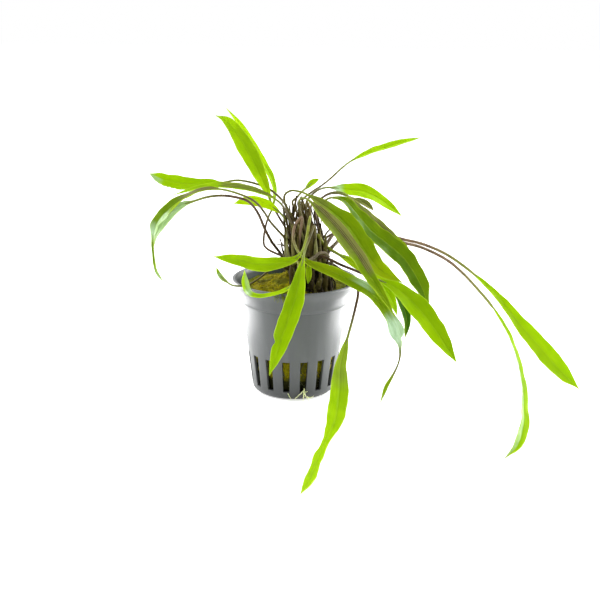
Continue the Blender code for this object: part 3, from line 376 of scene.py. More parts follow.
class Finish:
    """A material that is being wired up."""

    def __init__(self, name):
        self.material = bpy.data.materials.new(name)
        self.material.use_nodes = True
        self.tree = self.material.node_tree
        self.shader = self.tree.nodes["Principled BSDF"]
        self.output = self.tree.nodes["Material Output"]

    def put(self, socket, value):
        if isinstance(value, Wire):
            self.tree.links.new(value.socket, socket)
        elif isinstance(value, (tuple, list)) and len(value) == 3 and len(getattr(socket, "default_value", ())) == 4:
            socket.default_value = (*value, 1.0)
        else:
            socket.default_value = value

    def node(self, kind, settings, inputs, output=0):
        """A node of that kind: settings first, then the values or links of its sockets, by name or in order."""
        made = self.tree.nodes.new(kind)
        for name, value in settings.items():
            if name == "stops":
                ramp = made.color_ramp
                while len(ramp.elements) < len(value):
                    ramp.elements.new(0.5)
                for element, (place, colour) in zip(ramp.elements, value):
                    element.position = place
                    element.color = (*colour, 1.0)
            else:
                setattr(made, name, value)
        pairs = inputs.items() if isinstance(inputs, dict) else enumerate(inputs)
        for key, value in pairs:
            self.put(made.inputs[key], value)
        return Wire(self, made.outputs[output])

    def attribute(self, name, output="Vector"):
        return self.node("ShaderNodeAttribute", {"attribute_name": name}, {}, output)

    def axes(self, vector):
        split = self.node("ShaderNodeSeparateXYZ", {}, [vector])
        return [Wire(self, socket) for socket in split.socket.node.outputs]

    def vector(self, x, y, z):
        return self.node("ShaderNodeCombineXYZ", {}, [x, y, z])

    def place(self):
        """Object coordinates, in metres."""
        return self.node("ShaderNodeTexCoord", {}, {}, "Object")

    def noise(self, vector, scale, detail=3.0, roughness=0.55, stretch=None):
        """Noise from 0 to 1; stretch gives each axis its own scale."""
        if stretch is not None:
            vector = self.node("ShaderNodeMapping", {}, {"Vector": vector, "Scale": stretch})
        made = self.node("ShaderNodeTexNoise", {}, {"Vector": vector, "Scale": scale, "Detail": detail,
                                                    "Roughness": roughness})
        return made

    def cells(self, vector, scale):
        return self.node("ShaderNodeTexVoronoi", {"feature": "DISTANCE_TO_EDGE"}, {"Vector": vector, "Scale": scale})

    def mix(self, share, first, second, how="MIX"):
        """Colours blended by share."""
        made = self.node("ShaderNodeMix", {"data_type": "RGBA", "blend_type": how}, {}, 2)
        inputs = made.socket.node.inputs
        self.put(inputs[0], share)
        self.put(inputs[6], first)
        self.put(inputs[7], second)
        return made

    def bump(self, height, distance, strength=1.0, normal=None):
        inputs = {"Height": height, "Distance": distance, "Strength": strength}
        if normal is not None:
            inputs["Normal"] = normal
        return self.node("ShaderNodeBump", {}, inputs)

    def surface(self, **values):
        """Sets or links the shader's own sockets; a double underscore stands for a space."""
        for name, value in values.items():
            self.put(self.shader.inputs[name.replace("__", " ")], value)
        return self.material

    def through(self, share, colour, normal=None):
        """Lets light through the piece: share of the light, and the colour it takes."""
        glow = self.node("ShaderNodeBsdfTranslucent", {}, {"Color": colour})
        if normal is not None:
            self.put(glow.socket.node.inputs["Normal"], normal)
        blend = self.node("ShaderNodeMixShader", {}, {"Fac": share})
        self.tree.links.new(self.shader.outputs[0], blend.socket.node.inputs[1])
        self.tree.links.new(glow.socket, blend.socket.node.inputs[2])
        self.tree.links.new(blend.socket, self.output.inputs["Surface"])
        return self.material


# Materials


def blade_finish(name, colour, under=False):
    """A leaf's blade: midrib, long veins, soft bands, a light margin, and pale, brown, dark and yellow marks; a pale
    mark is a painted sheen with a glossy coat, a dark mark is painted shade.
    """
    make = Finish(name)
    across, along, offset = make.axes(make.attribute("place"))
    pale, brown, dark = make.axes(make.attribute("marks"))
    yellow = make.attribute("yellow", "Fac")
    spot = make.place()
    cloud = make.noise(spot, 130, 2.0)
    fleck = make.noise(spot, 1500, 2.0)
    grain = make.noise(make.vector(across, along, offset), 1.0, 3.0, 0.6, stretch=(3.6, 0.12, 1.0))

    spread = abs(across)
    midrib = offset.between(0.34, 0.1)
    beside = offset.between(1.5, 0.3) - midrib
    vein = abs((spread * 4.3 + cloud * 0.35 + along * 0.012).part() - 0.5).between(0.2, 0.03)
    vein = vein * offset.between(0.25, 0.6)
    cross = abs((along * 0.8 + offset * 0.9 + fleck * 0.6).part() - 0.5).between(0.16, 0.03)
    edge = (offset / spread.maths("MAXIMUM", spread, 0.05) - offset).between(0.42, 0.08)

    deep = tuple(c * s for c, s in zip(colour, (0.56, 0.66, 0.5)))
    light = tuple(min(c * s, 1.0) for c, s in zip(colour, (1.3, 1.14, 1.0)))
    lively = (cloud * 1.0 + grain * 0.8 - 0.42).limited()
    base = make.mix(lively, deep, light)
    base = make.mix(beside * 0.25, base, deep)
    base = make.mix(vein * 0.2 + cross * 0.05, base, light)
    base = make.mix(fleck.between(0.62, 0.78) * 0.12, base, deep)
    base = make.mix(yellow * (0.5 + grain * 0.4), base, (0.62, 0.74, 0.004))
    # Painted shade: a darker copy of the leaf colour where a dark mark lies.
    base = make.mix(dark * 0.8, base, tuple(c * s for c, s in zip(colour, (0.2, 0.32, 0.3))))
    base = make.mix(edge * 0.5, base, (0.62, 0.8, 0.05))
    base = make.mix(midrib * 0.35, base, (0.26, 0.36, 0.02))
    stripe = abs((offset * 1.5 + cloud * 0.5).part() - 0.5).between(0.34, 0.12) * offset.between(2.2, 1.5)
    base = make.mix(brown * 0.6, base, (0.25, 0.19, 0.1))
    base = make.mix((brown * (stripe * 0.8 + grain.between(0.5, 0.62) * 0.3)).limited(), base, (0.06, 0.028, 0.02))
    # Painted sheen: a whitish mint laid into the colour where a pale mark lies; the coat adds real gloss there too.
    painted_sheen = make.mix(grain, (0.3, 0.56, 0.26), (0.66, 0.84, 0.62))
    base = make.mix((pale * (0.5 + grain * 0.7)).limited(), base, painted_sheen)
    if under:
        base = make.mix(0.25, base, (0.34, 0.5, 0.1))

    relief = vein * 0.4 + cross * 0.14 + cloud * 0.4 + midrib * (0.9 if under else -0.6)
    normal = make.bump(relief, 0.00012, 0.6)
    rough = 0.55 if under else 0.42
    make.surface(Base__Color=base, Roughness=(cloud * 0.2 + rough - 0.1 - pale * 0.14).limited(), Normal=normal)
    make.surface(Coat__Weight=(pale * 0.5 + dark * 0.1).limited())
    make.shader.inputs["Coat Roughness"].default_value = 0.22
    make.shader.inputs["Specular IOR Level"].default_value = 0.06
    glow = tuple(min(c * s, 1.0) for c, s in zip(colour, (1.6, 1.3, 0.6)))
    share = 0.42 - dark * 0.28 - brown * 0.3 - vein * 0.06 - pale * 0.34 + yellow * 0.2
    return make.through(share.limited(), glow)


def stalk_finish(name, colour, light):
    """A stalk: streaks along it, darker towards the crown, greener towards the blade."""
    make = Finish(name)
    around, along, share = make.axes(make.attribute("place"))
    spot = make.place()
    streak = make.noise(make.vector(around, along, share), 1.0, 3.0, 0.6, stretch=(1.6, 0.16, 1.0))
    patch = make.noise(spot, 420, 3.0)
    base = make.mix((streak * 1.5 - 0.4).limited(), colour, light)
    base = make.mix((patch.between(0.5, 0.72) * 0.7), base, tuple(c * 0.45 for c in colour))
    base = make.mix(share.between(0.72, 1.0) * 0.55, base, (0.26, 0.36, 0.03))
    base = make.mix(share.between(0.34, 0.02) * 0.6, base, (0.05, 0.032, 0.012))
    normal = make.bump(streak + patch * 0.4, 0.00012, 0.6)
    make.surface(Base__Color=base, Roughness=patch * 0.25 + 0.3, Normal=normal)
    make.shader.inputs["Specular IOR Level"].default_value = 0.25
    return make.material


def dead_finish(name, colours, dry, by_tone=True):
    """Old stalks, sheaths and husks: fibrous, each of its own brown, olive or straw, blotched nearly black."""
    make = Finish(name)
    spot = make.place()
    streak = make.noise(spot, 1.0, 4.0, 0.65, stretch=(1700, 1700, 190))
    patch = make.noise(spot, 230, 3.0)
    tone = make.attribute("tone", "Fac") if by_tone else make.noise(spot, 90, 1.0)
    stops = [(i / (len(colours) - 1), colour) for i, colour in enumerate(colours)]
    body = make.node("ShaderNodeValToRGB", {"stops": stops}, [tone])
    base = make.mix(streak.between(0.7, 0.35) * 0.65, body, make.mix(0.7, body, (0.012, 0.008, 0.003)))
    base = make.mix(patch.between(0.5, 0.72) * 0.75, base, (0.014, 0.009, 0.003))
    base = make.mix(make.noise(spot, 640, 2.0).between(0.6, 0.74) * dry, base, (0.5, 0.42, 0.22))
    normal = make.bump(streak + patch * 0.5, 0.0002, 0.9)
    make.surface(Base__Color=base, Roughness=streak * 0.25 + 0.48, Normal=normal)
    make.shader.inputs["Specular IOR Level"].default_value = 0.1
    return make.material


def wool_finish(name, colour):
    """Stained mineral wool: matted fibres, ochre and olive, with algae by the rim, dark patches, and painted shade
    that makes it nearly black low down.
    """
    make = Finish(name)
    spot = make.place()
    x, y, z = make.axes(spot)
    mat_a = make.noise(spot, 1.0, 4.0, 0.7, stretch=(380, 2300, 900))
    mat_b = make.noise(spot, 1.0, 4.0, 0.7, stretch=(2300, 420, 1100))
    clump = make.noise(spot, 190, 3.0)
    wet = make.noise(spot, 95, 3.0)
    fibre = (mat_a + mat_b) * 0.5
    base = make.mix(fibre.between(0.34, 0.64), tuple(c * 0.5 for c in colour), tuple(c * 1.7 for c in colour))
    base = make.mix(clump.between(0.48, 0.66) * 0.7, base, (0.085, 0.12, 0.003))
    base = make.mix(wet.between(0.5, 0.66) * 0.6, base, (0.06, 0.04, 0.004))
    edge = (x * x + y * y).between(0.00031, 0.00044) * z.between(0.042, 0.0445)
    base = make.mix(edge * 0.6, base, (0.07, 0.12, 0.004))
    # Painted shade: the wool goes nearly black below about 10 mm, low in the pot.
    low = z.between(0.0105, 0.0075)
    base = make.mix(low * 0.94, base, (0.008, 0.010, 0.004))
    # Painted shade: the pits that the bump dents are also darkened in colour.
    pit = make.noise(spot, 520, 2.0).between(0.6, 0.72)
    base = make.mix(pit * 0.55, base, (0.02, 0.014, 0.002))
    normal = make.bump(fibre * 1.2 + clump * 0.8 - pit * 0.7, 0.0005, 0.9)
    make.surface(Base__Color=base, Roughness=wet * 0.3 + 0.55, Normal=normal)
    make.shader.inputs["Specular IOR Level"].default_value = 0.05
    return make.material


def root_finish(name, colour):
    """Young roots: waxy cream with a green tinge and soil specks."""
    make = Finish(name)
    spot = make.place()
    tinge = make.noise(spot, 520, 2.0)
    base = make.mix(tinge.between(0.4, 0.7), colour, (0.6, 0.7, 0.3))
    base = make.mix(make.noise(spot, 1900, 2.0).between(0.66, 0.76) * 0.6, base, (0.2, 0.2, 0.06))
    make.surface(Base__Color=base, Roughness=tinge * 0.2 + 0.35, Normal=make.bump(tinge, 0.0001, 0.5))
    return make.through(0.25, colour)


def pot_finish(name, colour):
    """Satin moulded plastic: faint flow streaks, fine grain and rubbed spots, painted shade that darkens it towards
    the bottom, and dark algae with painted shade on the inside.
    """
    make = Finish(name)
    spot = make.place()
    x, y, z = make.axes(spot)
    grain = make.noise(spot, 5200, 2.0)
    flow = make.noise(spot, 1.0, 3.0, 0.5, stretch=(210, 210, 14))
    rub = make.noise(spot, 130, 4.0, 0.6)
    scale = make.noise(spot, 1400, 3.0, 0.6)
    base = make.mix(flow.between(0.3, 0.7), tuple(c * 0.93 for c in colour), tuple(c * 1.08 for c in colour))
    base = make.mix(rub.between(0.56, 0.72) * 0.14, base, tuple(c * 1.6 for c in colour))
    base = make.mix(scale.between(0.68, 0.8) * rub.between(0.5, 0.6) * 0.25, base, (0.5, 0.5, 0.46))
    # Painted shade: the plastic darkens towards the bottom, where less light reaches it.
    base = make.mix(z.between(0.017, 0.003) * 0.6, base, tuple(c * 0.4 for c in colour))
    # between the inner and the outer face of the flared top
    skin = 0.0233 + (z - 0.041) * (z - 0.041) * 45
    inside = ((x * x + y * y) ** 0.5 - skin).between(0.0002, -0.0002) * z.between(0.0493, 0.0478)
    inside = inside * z.between(0.0402, 0.0406)
    # Dark teal on the inner face of the flared top: partly algae, partly painted shade.
    algae = make.mix(rub, (0.003, 0.009, 0.006), (0.012, 0.026, 0.014))
    base = make.mix(inside * 0.95, base, algae)
    normal = make.bump(grain * 0.4 + flow * 0.8, 0.00008, 0.5)
    make.surface(Base__Color=base, Roughness=(rub * 0.16 + grain * 0.05 + 0.3 + inside * 0.3).limited(), Normal=normal)
    make.shader.inputs["Specular IOR Level"].default_value = 0.5
    return make.material


def floor_finish(name):
    """A pale, slightly mottled studio sweep."""
    make = Finish(name)
    cloud = make.noise(make.place(), 3.0, 2.0)
    make.surface(Base__Color=make.mix(cloud, (0.86, 0.86, 0.86), (0.88, 0.88, 0.88)), Roughness=0.9)
    make.surface(Emission__Color=(1.0, 1.0, 1.0), Emission__Strength=0.5)
    return make.material


def studio_world(name, front):
    """A white room that is darker on its front side, and plain white where the camera sees it."""
    world = bpy.data.worlds.new(name)
    world.use_nodes = True
    tree = world.node_tree
    tree.nodes.clear()
    output = tree.nodes.new("ShaderNodeOutputWorld")
    room = tree.nodes.new("ShaderNodeBackground")
    seen = tree.nodes.new("ShaderNodeBackground")
    seen.inputs["Color"].default_value = (1, 1, 1, 1)
    seen.inputs["Strength"].default_value = 1.0
    place = tree.nodes.new("ShaderNodeTexCoord")
    split = tree.nodes.new("ShaderNodeSeparateXYZ")
    tree.links.new(place.outputs["Generated"], split.inputs[0])
    shade = tree.nodes.new("ShaderNodeMapRange")
    shade.interpolation_type = "SMOOTHSTEP"
    shade.inputs["From Min"].default_value = -0.95
    shade.inputs["From Max"].default_value = -0.1
    shade.inputs["To Min"].default_value = front
    shade.inputs["To Max"].default_value = 0.85
    tree.links.new(split.outputs["Y"], shade.inputs["Value"])
    tree.links.new(shade.outputs["Result"], room.inputs["Strength"])
    rays = tree.nodes.new("ShaderNodeLightPath")
    blend = tree.nodes.new("ShaderNodeMixShader")
    tree.links.new(rays.outputs["Is Camera Ray"], blend.inputs[0])
    tree.links.new(room.outputs[0], blend.inputs[1])
    tree.links.new(seen.outputs[0], blend.inputs[2])
    tree.links.new(blend.outputs[0], output.inputs["Surface"])
    return world


# Routes


class Route:
    """A smooth curve through knots in millimetres, read by the length along it."""

    STEPS = 16

    def __init__(self, knots):
        knots = [Vector(knot) for knot in knots]
        slopes = []
        for i, knot in enumerate(knots):
            before, after = knots[max(i - 1, 0)], knots[min(i + 1, len(knots) - 1)]
            slopes.append((after - before) / ((knot - before).length + (after - knot).length))
        points = [knots[0]]
        for i in range(len(knots) - 1):
            span = (knots[i + 1] - knots[i]).length
            for step in range(1, self.STEPS + 1):
                t = step / self.STEPS
                points.append(
                    knots[i] * (2 * t**3 - 3 * t**2 + 1)
                    + slopes[i] * span * (t**3 - 2 * t**2 + t)
                    + knots[i + 1] * (3 * t**2 - 2 * t**3)
                    + slopes[i + 1] * span * (t**3 - t**2)
                )
        self.points = np.array([tuple(point) for point in points])
        steps = np.linalg.norm(np.diff(self.points, axis=0), axis=1)
        self.lengths = np.concatenate([[0.0], np.cumsum(steps)])
        self.knot_lengths = self.lengths[:: self.STEPS]
        self.length = self.lengths[-1]

    def point(self, lengths):
        return np.stack([np.interp(lengths, self.lengths, self.points[:, i]) for i in range(3)], axis=-1)

    def tangent(self, lengths, reach=0.8):
        ahead = self.point(np.minimum(np.asarray(lengths) + reach, self.length))
        run = ahead - self.point(np.maximum(np.asarray(lengths) - reach, 0.0))
        return run / np.linalg.norm(run, axis=-1, keepdims=True)


def smooth_row(values, places):
    """Values given at even steps from 0 to 1, read smoothly at the places."""
    values = np.asarray(values, float)
    if len(values) == 1:
        return np.repeat(values, len(places), axis=0)
    spots = np.clip(places, 0, 1) * (len(values) - 1)
    i = np.minimum(spots.astype(int), len(values) - 2)
    t = spots - i
    if values.ndim > 1:
        t = t[:, None]
    here, there = values[i], values[i + 1]
    before, after = values[np.maximum(i - 1, 0)], values[np.minimum(i + 2, len(values) - 1)]
    return here + t * (
        (there - before) / 2
        + t * (before - 2.5 * here + 2 * there - after / 2 + t * (1.5 * (here - there) + (after - before) / 2))
    )


def unit(vectors):
    return vectors / np.linalg.norm(vectors, axis=-1, keepdims=True)


# Modelling helpers


def nothing_selected():
    if bpy.context.object is not None and bpy.context.object.mode != "OBJECT":
        bpy.ops.object.mode_set(mode="OBJECT")
    bpy.ops.object.select_all(action="DESELECT")


def make_active(piece):
    nothing_selected()
    piece.select_set(True)
    bpy.context.view_layer.objects.active = piece


def finished(piece, name, finishes, slot, *nodes, sharp=35):
    """Names the piece, shades it round, gives it its finishes and ties it to the frame."""
    piece.name = name
    piece.data.name = name
    make_active(piece)
    bpy.ops.object.transform_apply(location=True, rotation=True, scale=True)
    bpy.ops.object.shade_smooth_by_angle(angle=math.radians(sharp))
    piece.data.materials.clear()
    for finish in finishes:
        piece.data.materials.append(finish)
    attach(piece, BODY)
    if nodes:
        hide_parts(*nodes)
    nothing_selected()
    return piece


def apply_all(piece):
    make_active(piece)
    for modifier in list(piece.modifiers):
        bpy.ops.object.modifier_apply(modifier=modifier.name)


def turned(name, profile, sides, turn=0.0):
    """An open skin turned about Z by hand: a ring drawn out and widened along the profile, in millimetres."""
    nothing_selected()
    radius, height = profile[0]
    bpy.ops.mesh.primitive_circle_add(vertices=sides, radius=radius * MM, fill_type="NOTHING",
                                      location=(0, 0, height * MM), rotation=(0, 0, turn))
    piece = bpy.context.object
    piece.name = name
    bpy.ops.object.transform_apply(location=True, rotation=True, scale=True)
    bpy.ops.object.mode_set(mode="EDIT")
    bpy.ops.mesh.select_mode(type="VERT")
    bpy.ops.mesh.select_all(action="SELECT")
    for radius_next, height_next in profile[1:]:
        bpy.ops.mesh.extrude_region_move(
            TRANSFORM_OT_translate={"value": (0, 0, (height_next - height) * MM)})
        share = radius_next / radius
        bpy.ops.transform.resize(value=(share, share, 1), center_override=(0, 0, height_next * MM))
        radius, height = radius_next, height_next
    bpy.ops.mesh.select_all(action="SELECT")
    bpy.ops.mesh.normals_make_consistent(inside=False)
    bpy.ops.object.mode_set(mode="OBJECT")
    return piece


def ring_filled(piece, height, radius):
    """Closes the ring at that height and radius with one face."""
    make_active(piece)
    bpy.ops.object.mode_set(mode="EDIT")
    bpy.ops.mesh.select_mode(type="VERT")
    bpy.ops.mesh.select_all(action="DESELECT")
    bpy.ops.object.mode_set(mode="OBJECT")
    for vertex in piece.data.vertices:
        off = math.hypot(vertex.co.x, vertex.co.y) - radius * MM
        vertex.select = abs(off) < 0.02 * MM and abs(vertex.co.z - height * MM) < 0.02 * MM
    bpy.ops.object.mode_set(mode="EDIT")
    bpy.ops.mesh.edge_face_add()
    bpy.ops.mesh.select_all(action="SELECT")
    bpy.ops.mesh.normals_make_consistent(inside=False)
    bpy.ops.object.mode_set(mode="OBJECT")


def faces_deleted(piece, wanted):
    """Deletes the faces whose middle passes the test."""
    make_active(piece)
    bpy.ops.object.mode_set(mode="EDIT")
    bpy.ops.mesh.select_mode(type="FACE")
    bpy.ops.mesh.select_all(action="DESELECT")
    bpy.ops.object.mode_set(mode="OBJECT")
    for face in piece.data.polygons:
        face.select = wanted(face.center / MM)
    bpy.ops.object.mode_set(mode="EDIT")
    bpy.ops.mesh.delete(type="FACE")
    bpy.ops.object.mode_set(mode="OBJECT")


def tubes(name, strands, resolution=1, tones=None):
    """Round strands as one closed mesh: each is a list of (point in mm, radius in mm), and may have a tone."""
    nothing_selected()
    curve = bpy.data.curves.new(name, "CURVE")
    curve.dimensions = "3D"
    curve.bevel_depth = MM
    curve.bevel_resolution = resolution
    curve.use_fill_caps = True
    for strand in strands:
        line = curve.splines.new("POLY")
        line.points.add(len(strand) - 1)
        for spot, (point, radius) in zip(line.points, strand):
            spot.co = (point[0] * MM, point[1] * MM, point[2] * MM, 1)
            spot.radius = radius
        line.use_smooth = True
    piece = bpy.data.objects.new(name, curve)
    bpy.context.scene.collection.objects.link(piece)
    make_active(piece)
    bpy.ops.object.convert(target="MESH")
    piece = bpy.context.object
    if tones is not None:
        sides = 4 + 2 * resolution
        corners = [(len(strand) + 2) * sides for strand in strands]
        set_vectors(piece.data, "tone", np.repeat(tones, corners), "FLOAT")
    bpy.ops.object.mode_set(mode="EDIT")
    bpy.ops.mesh.select_mode(type="VERT")
    bpy.ops.mesh.select_all(action="SELECT")
    bpy.ops.mesh.remove_doubles(threshold=0.001 * MM)
    bpy.ops.object.mode_set(mode="OBJECT")
    return piece


def set_vectors(mesh, name, values, kind="FLOAT_VECTOR"):
    layer = mesh.attributes.new(name, kind, "POINT")
    layer.data.foreach_set("vector" if kind == "FLOAT_VECTOR" else "value", np.ascontiguousarray(values).ravel())


def wander(points, amount, pitch, seed):
    """The points with a smooth random drift, in millimetres."""
    moved = []
    for i, point in enumerate(points):
        drift = noise.noise_vector(Vector((i * pitch, seed * 7.13, 0.37)))
        ease = min(i, 3) / 3
        moved.append(Vector(point) + drift * amount * ease)
    return moved


def wool_height(x, y, settings):
    """Height of the wool's top in millimetres."""
    reach = min(math.hypot(x, y) / 22, 1.0)
    mound = math.exp(-(((x + 3.0) / 5.5) ** 2 + ((y + 1.0) / 7.5) ** 2))
    hollow = math.exp(-(((x + 9.2) / 2.6) ** 2 + ((y - 8.5) / 2.0) ** 2))
    rough = noise.fractal(Vector((x * 0.17, y * 0.17, 1.7)), 0.8, 2.1, 4)
    level = (settings.top + settings.mound * mound) / MM + 1.5 * (1 - reach**2)
    return level + rough * 1.1 * (1.1 - 0.6 * reach) - 3.2 * hollow


# Operators


class MakePot(bpy.types.Operator):
    """Make the grey net pot with its rim, collar, slotted wall and slotted base"""

    bl_idname = "plant.make_pot"
    bl_label = "Net pot"

    SIDES = 128
    SLOTS = 16
    SLOT_TURN = -9.3

    def execute(self, context):
        pot = context.scene.plant_pot
        top, rim = pot.height / MM, pot.rim_radius / MM
        profile = [(1.6, 0), (6.9, 0), (13.1, 0), (15.6, 0), (16.9, 0.35), (17.85, 1.3), (18.22, 2.6), (18.34, 3.8),
                   (18.94, 8.5), (19.54, 13.2), (20.14, 17.9), (21.47, 28.5), (22.85, 39.3), (22.8, 39.9),
                   (23.15, 40.15), (23.5, 40.5), (23.85, 42.0), (24.2, 44.6), (25.05, 46.3), (25.85, 47.7),
                   (rim - 0.25, 49.0), (rim, top - 0.15), (rim, top)]
        column = 360 / self.SIDES
        phase = (self.SLOT_TURN + column / 2) % column
        skin = turned("net_pot", profile, self.SIDES, math.radians(phase))
        ring_filled(skin, 0, 1.6)

        def in_slot(middle):
            turn = math.degrees(math.atan2(middle.x, -middle.y))
            pitch = 360 / self.SLOTS
            off = (turn - self.SLOT_TURN + pitch / 2) % pitch - pitch / 2
            if 3.8 < middle.z < 17.9 and abs(off) < 1.5 * column:
                return True
            off = (turn - 22.5 + 22.5) % 45 - 22.5
            return middle.z < 0.05 and 6.9 < math.hypot(middle.x, middle.y) < 13.1 and abs(off) < 2.6 * column

        faces_deleted(skin, in_slot)
        self.widen(skin, math.radians(1.5 * column), math.radians(360 / self.SLOTS))
        wall = skin.modifiers.new("wall", "SOLIDIFY")
        wall.thickness = pot.wall
        wall.offset = -1
        wall.use_even_offset = True
        edge = skin.modifiers.new("edge", "BEVEL")
        edge.width = pot.bevel
        edge.segments = 2
        edge.limit_method = "ANGLE"
        edge.angle_limit = math.radians(40)
        apply_all(skin)
        finished(skin, "net_pot", [pot_finish("pot_plastic", pot.colour)], "pot_plastic", "pot", sharp=32)
        return {"FINISHED"}

    def widen(self, skin, half, pitch):
        """Turns the sides of the slots outwards, so that a slot is 2.8 mm wide at its foot and 3.4 mm at its top."""
        for vertex in skin.data.vertices:
            x, y, z = vertex.co / MM
            if not 3.7 < z < 18:
                continue
            turn = math.atan2(x, -y)
            off = (turn - math.radians(self.SLOT_TURN) + pitch / 2) % pitch - pitch / 2
            if abs(abs(off) - half) > 0.01:
                continue
            reach = math.hypot(x, y)
            wanted = (1.4 + 0.3 * (z - 3.8) / 14.1) / reach
            turn += math.copysign(wanted - abs(off), off)
            vertex.co = Vector((reach * math.sin(turn), -reach * math.cos(turn), z)) * MM


class MakeWool(bpy.types.Operator):
    """Make the plug of mineral wool, with its mound, hollow and loose fibres"""

    bl_idname = "plant.make_wool"
    bl_label = "Mineral wool"

    def execute(self, context):
        wool = context.scene.plant_wool
        side = [(14.2, 2.1), (15.8, 2.8), (16.5, 5)] + [(16.6 + 0.118 * (z - 5), z) for z in range(8, 39, 3)]
        side += [(20.9, 40), (21.6, 42), (22.3, 44), (22.5, 46)]
        top = [(22.4, 46.5)] + [(22.3 - i * 0.7, 46.5) for i in range(1, 31)] + [(0.7, 46.5)]
        plug = turned("wool_plug", [(1.0, 2.0), (8, 2.0)] + side + top, 132)
        ring_filled(plug, 2.0, 1.0)
        ring_filled(plug, 46.5, 0.7)
        for vertex in plug.data.vertices:
            x, y, z = vertex.co / MM
            lump = noise.fractal(Vector((x, y, z)) * 0.3, 0.9, 2.1, 3)
            if z > 46.2:
                vertex.co.z = wool_height(x, y, wool) * MM
            elif z > 2.2:
                pull = 1 - (0.35 + 0.35 * lump + 0.25) / max(math.hypot(x, y), 1)
                vertex.co.x *= pull
                vertex.co.y *= pull
        finish = wool_finish("stained_wool", wool.colour)
        finished(plug, "wool_plug", [finish], "wool", "mineral_wool", sharp=80)

        rng = random.Random(11)
        strands = []
        for i in range(wool.fibres):
            reach, turn = 22 * math.sqrt(rng.random()), rng.uniform(0, 2 * math.pi)
            x, y = reach * math.cos(turn), reach * math.sin(turn)
            heading, size = rng.uniform(0, 2 * math.pi), rng.uniform(1.4, 5.0)
            points = []
            for step in range(6):
                t = step / 5
                px = x + math.cos(heading + t * 1.2) * size * (t - 0.5)
                py = y + math.sin(heading + t * 1.2) * size * (t - 0.5)
                inward = min(1.0, 22.2 / max(math.hypot(px, py), 0.1))
                px, py = px * inward, py * inward
                lift = 0.15 + 0.75 * math.sin(math.pi * t) * rng.random()
                points.append((px, py, wool_height(px, py, wool) + lift))
            points = wander(points, 0.4, 0.7, i)
            strands.append([(point, rng.uniform(0.04, 0.1)) for point in points])
        for i in range(34):
            x = rng.gauss(-4.4, 1.5)
            drop, reach = rng.uniform(0.5, 4.6), rng.uniform(26.2, 27.3)
            over = [(20.5, 49.4), (24.5, 50.6), (26.4, 50.5), (reach, 50.2 - drop * 0.4), (reach - 0.1, 50.2 - drop)]
            points = [(x + rng.uniform(-0.3, 0.3), -math.sqrt(r * r - x * x), z) for r, z in over]
            points = wander(points, 0.35, 0.7, 700 + i)
            strands.append([(point, rng.uniform(0.06, 0.14)) for point in points])
        loose = tubes("wool_fibres", strands, 0)
        finished(loose, "wool_fibres", [wool_finish("wool_fibre", tuple(c * 1.4 for c in wool.colour))], "wool",
                 sharp=80)
        return {"FINISHED"}


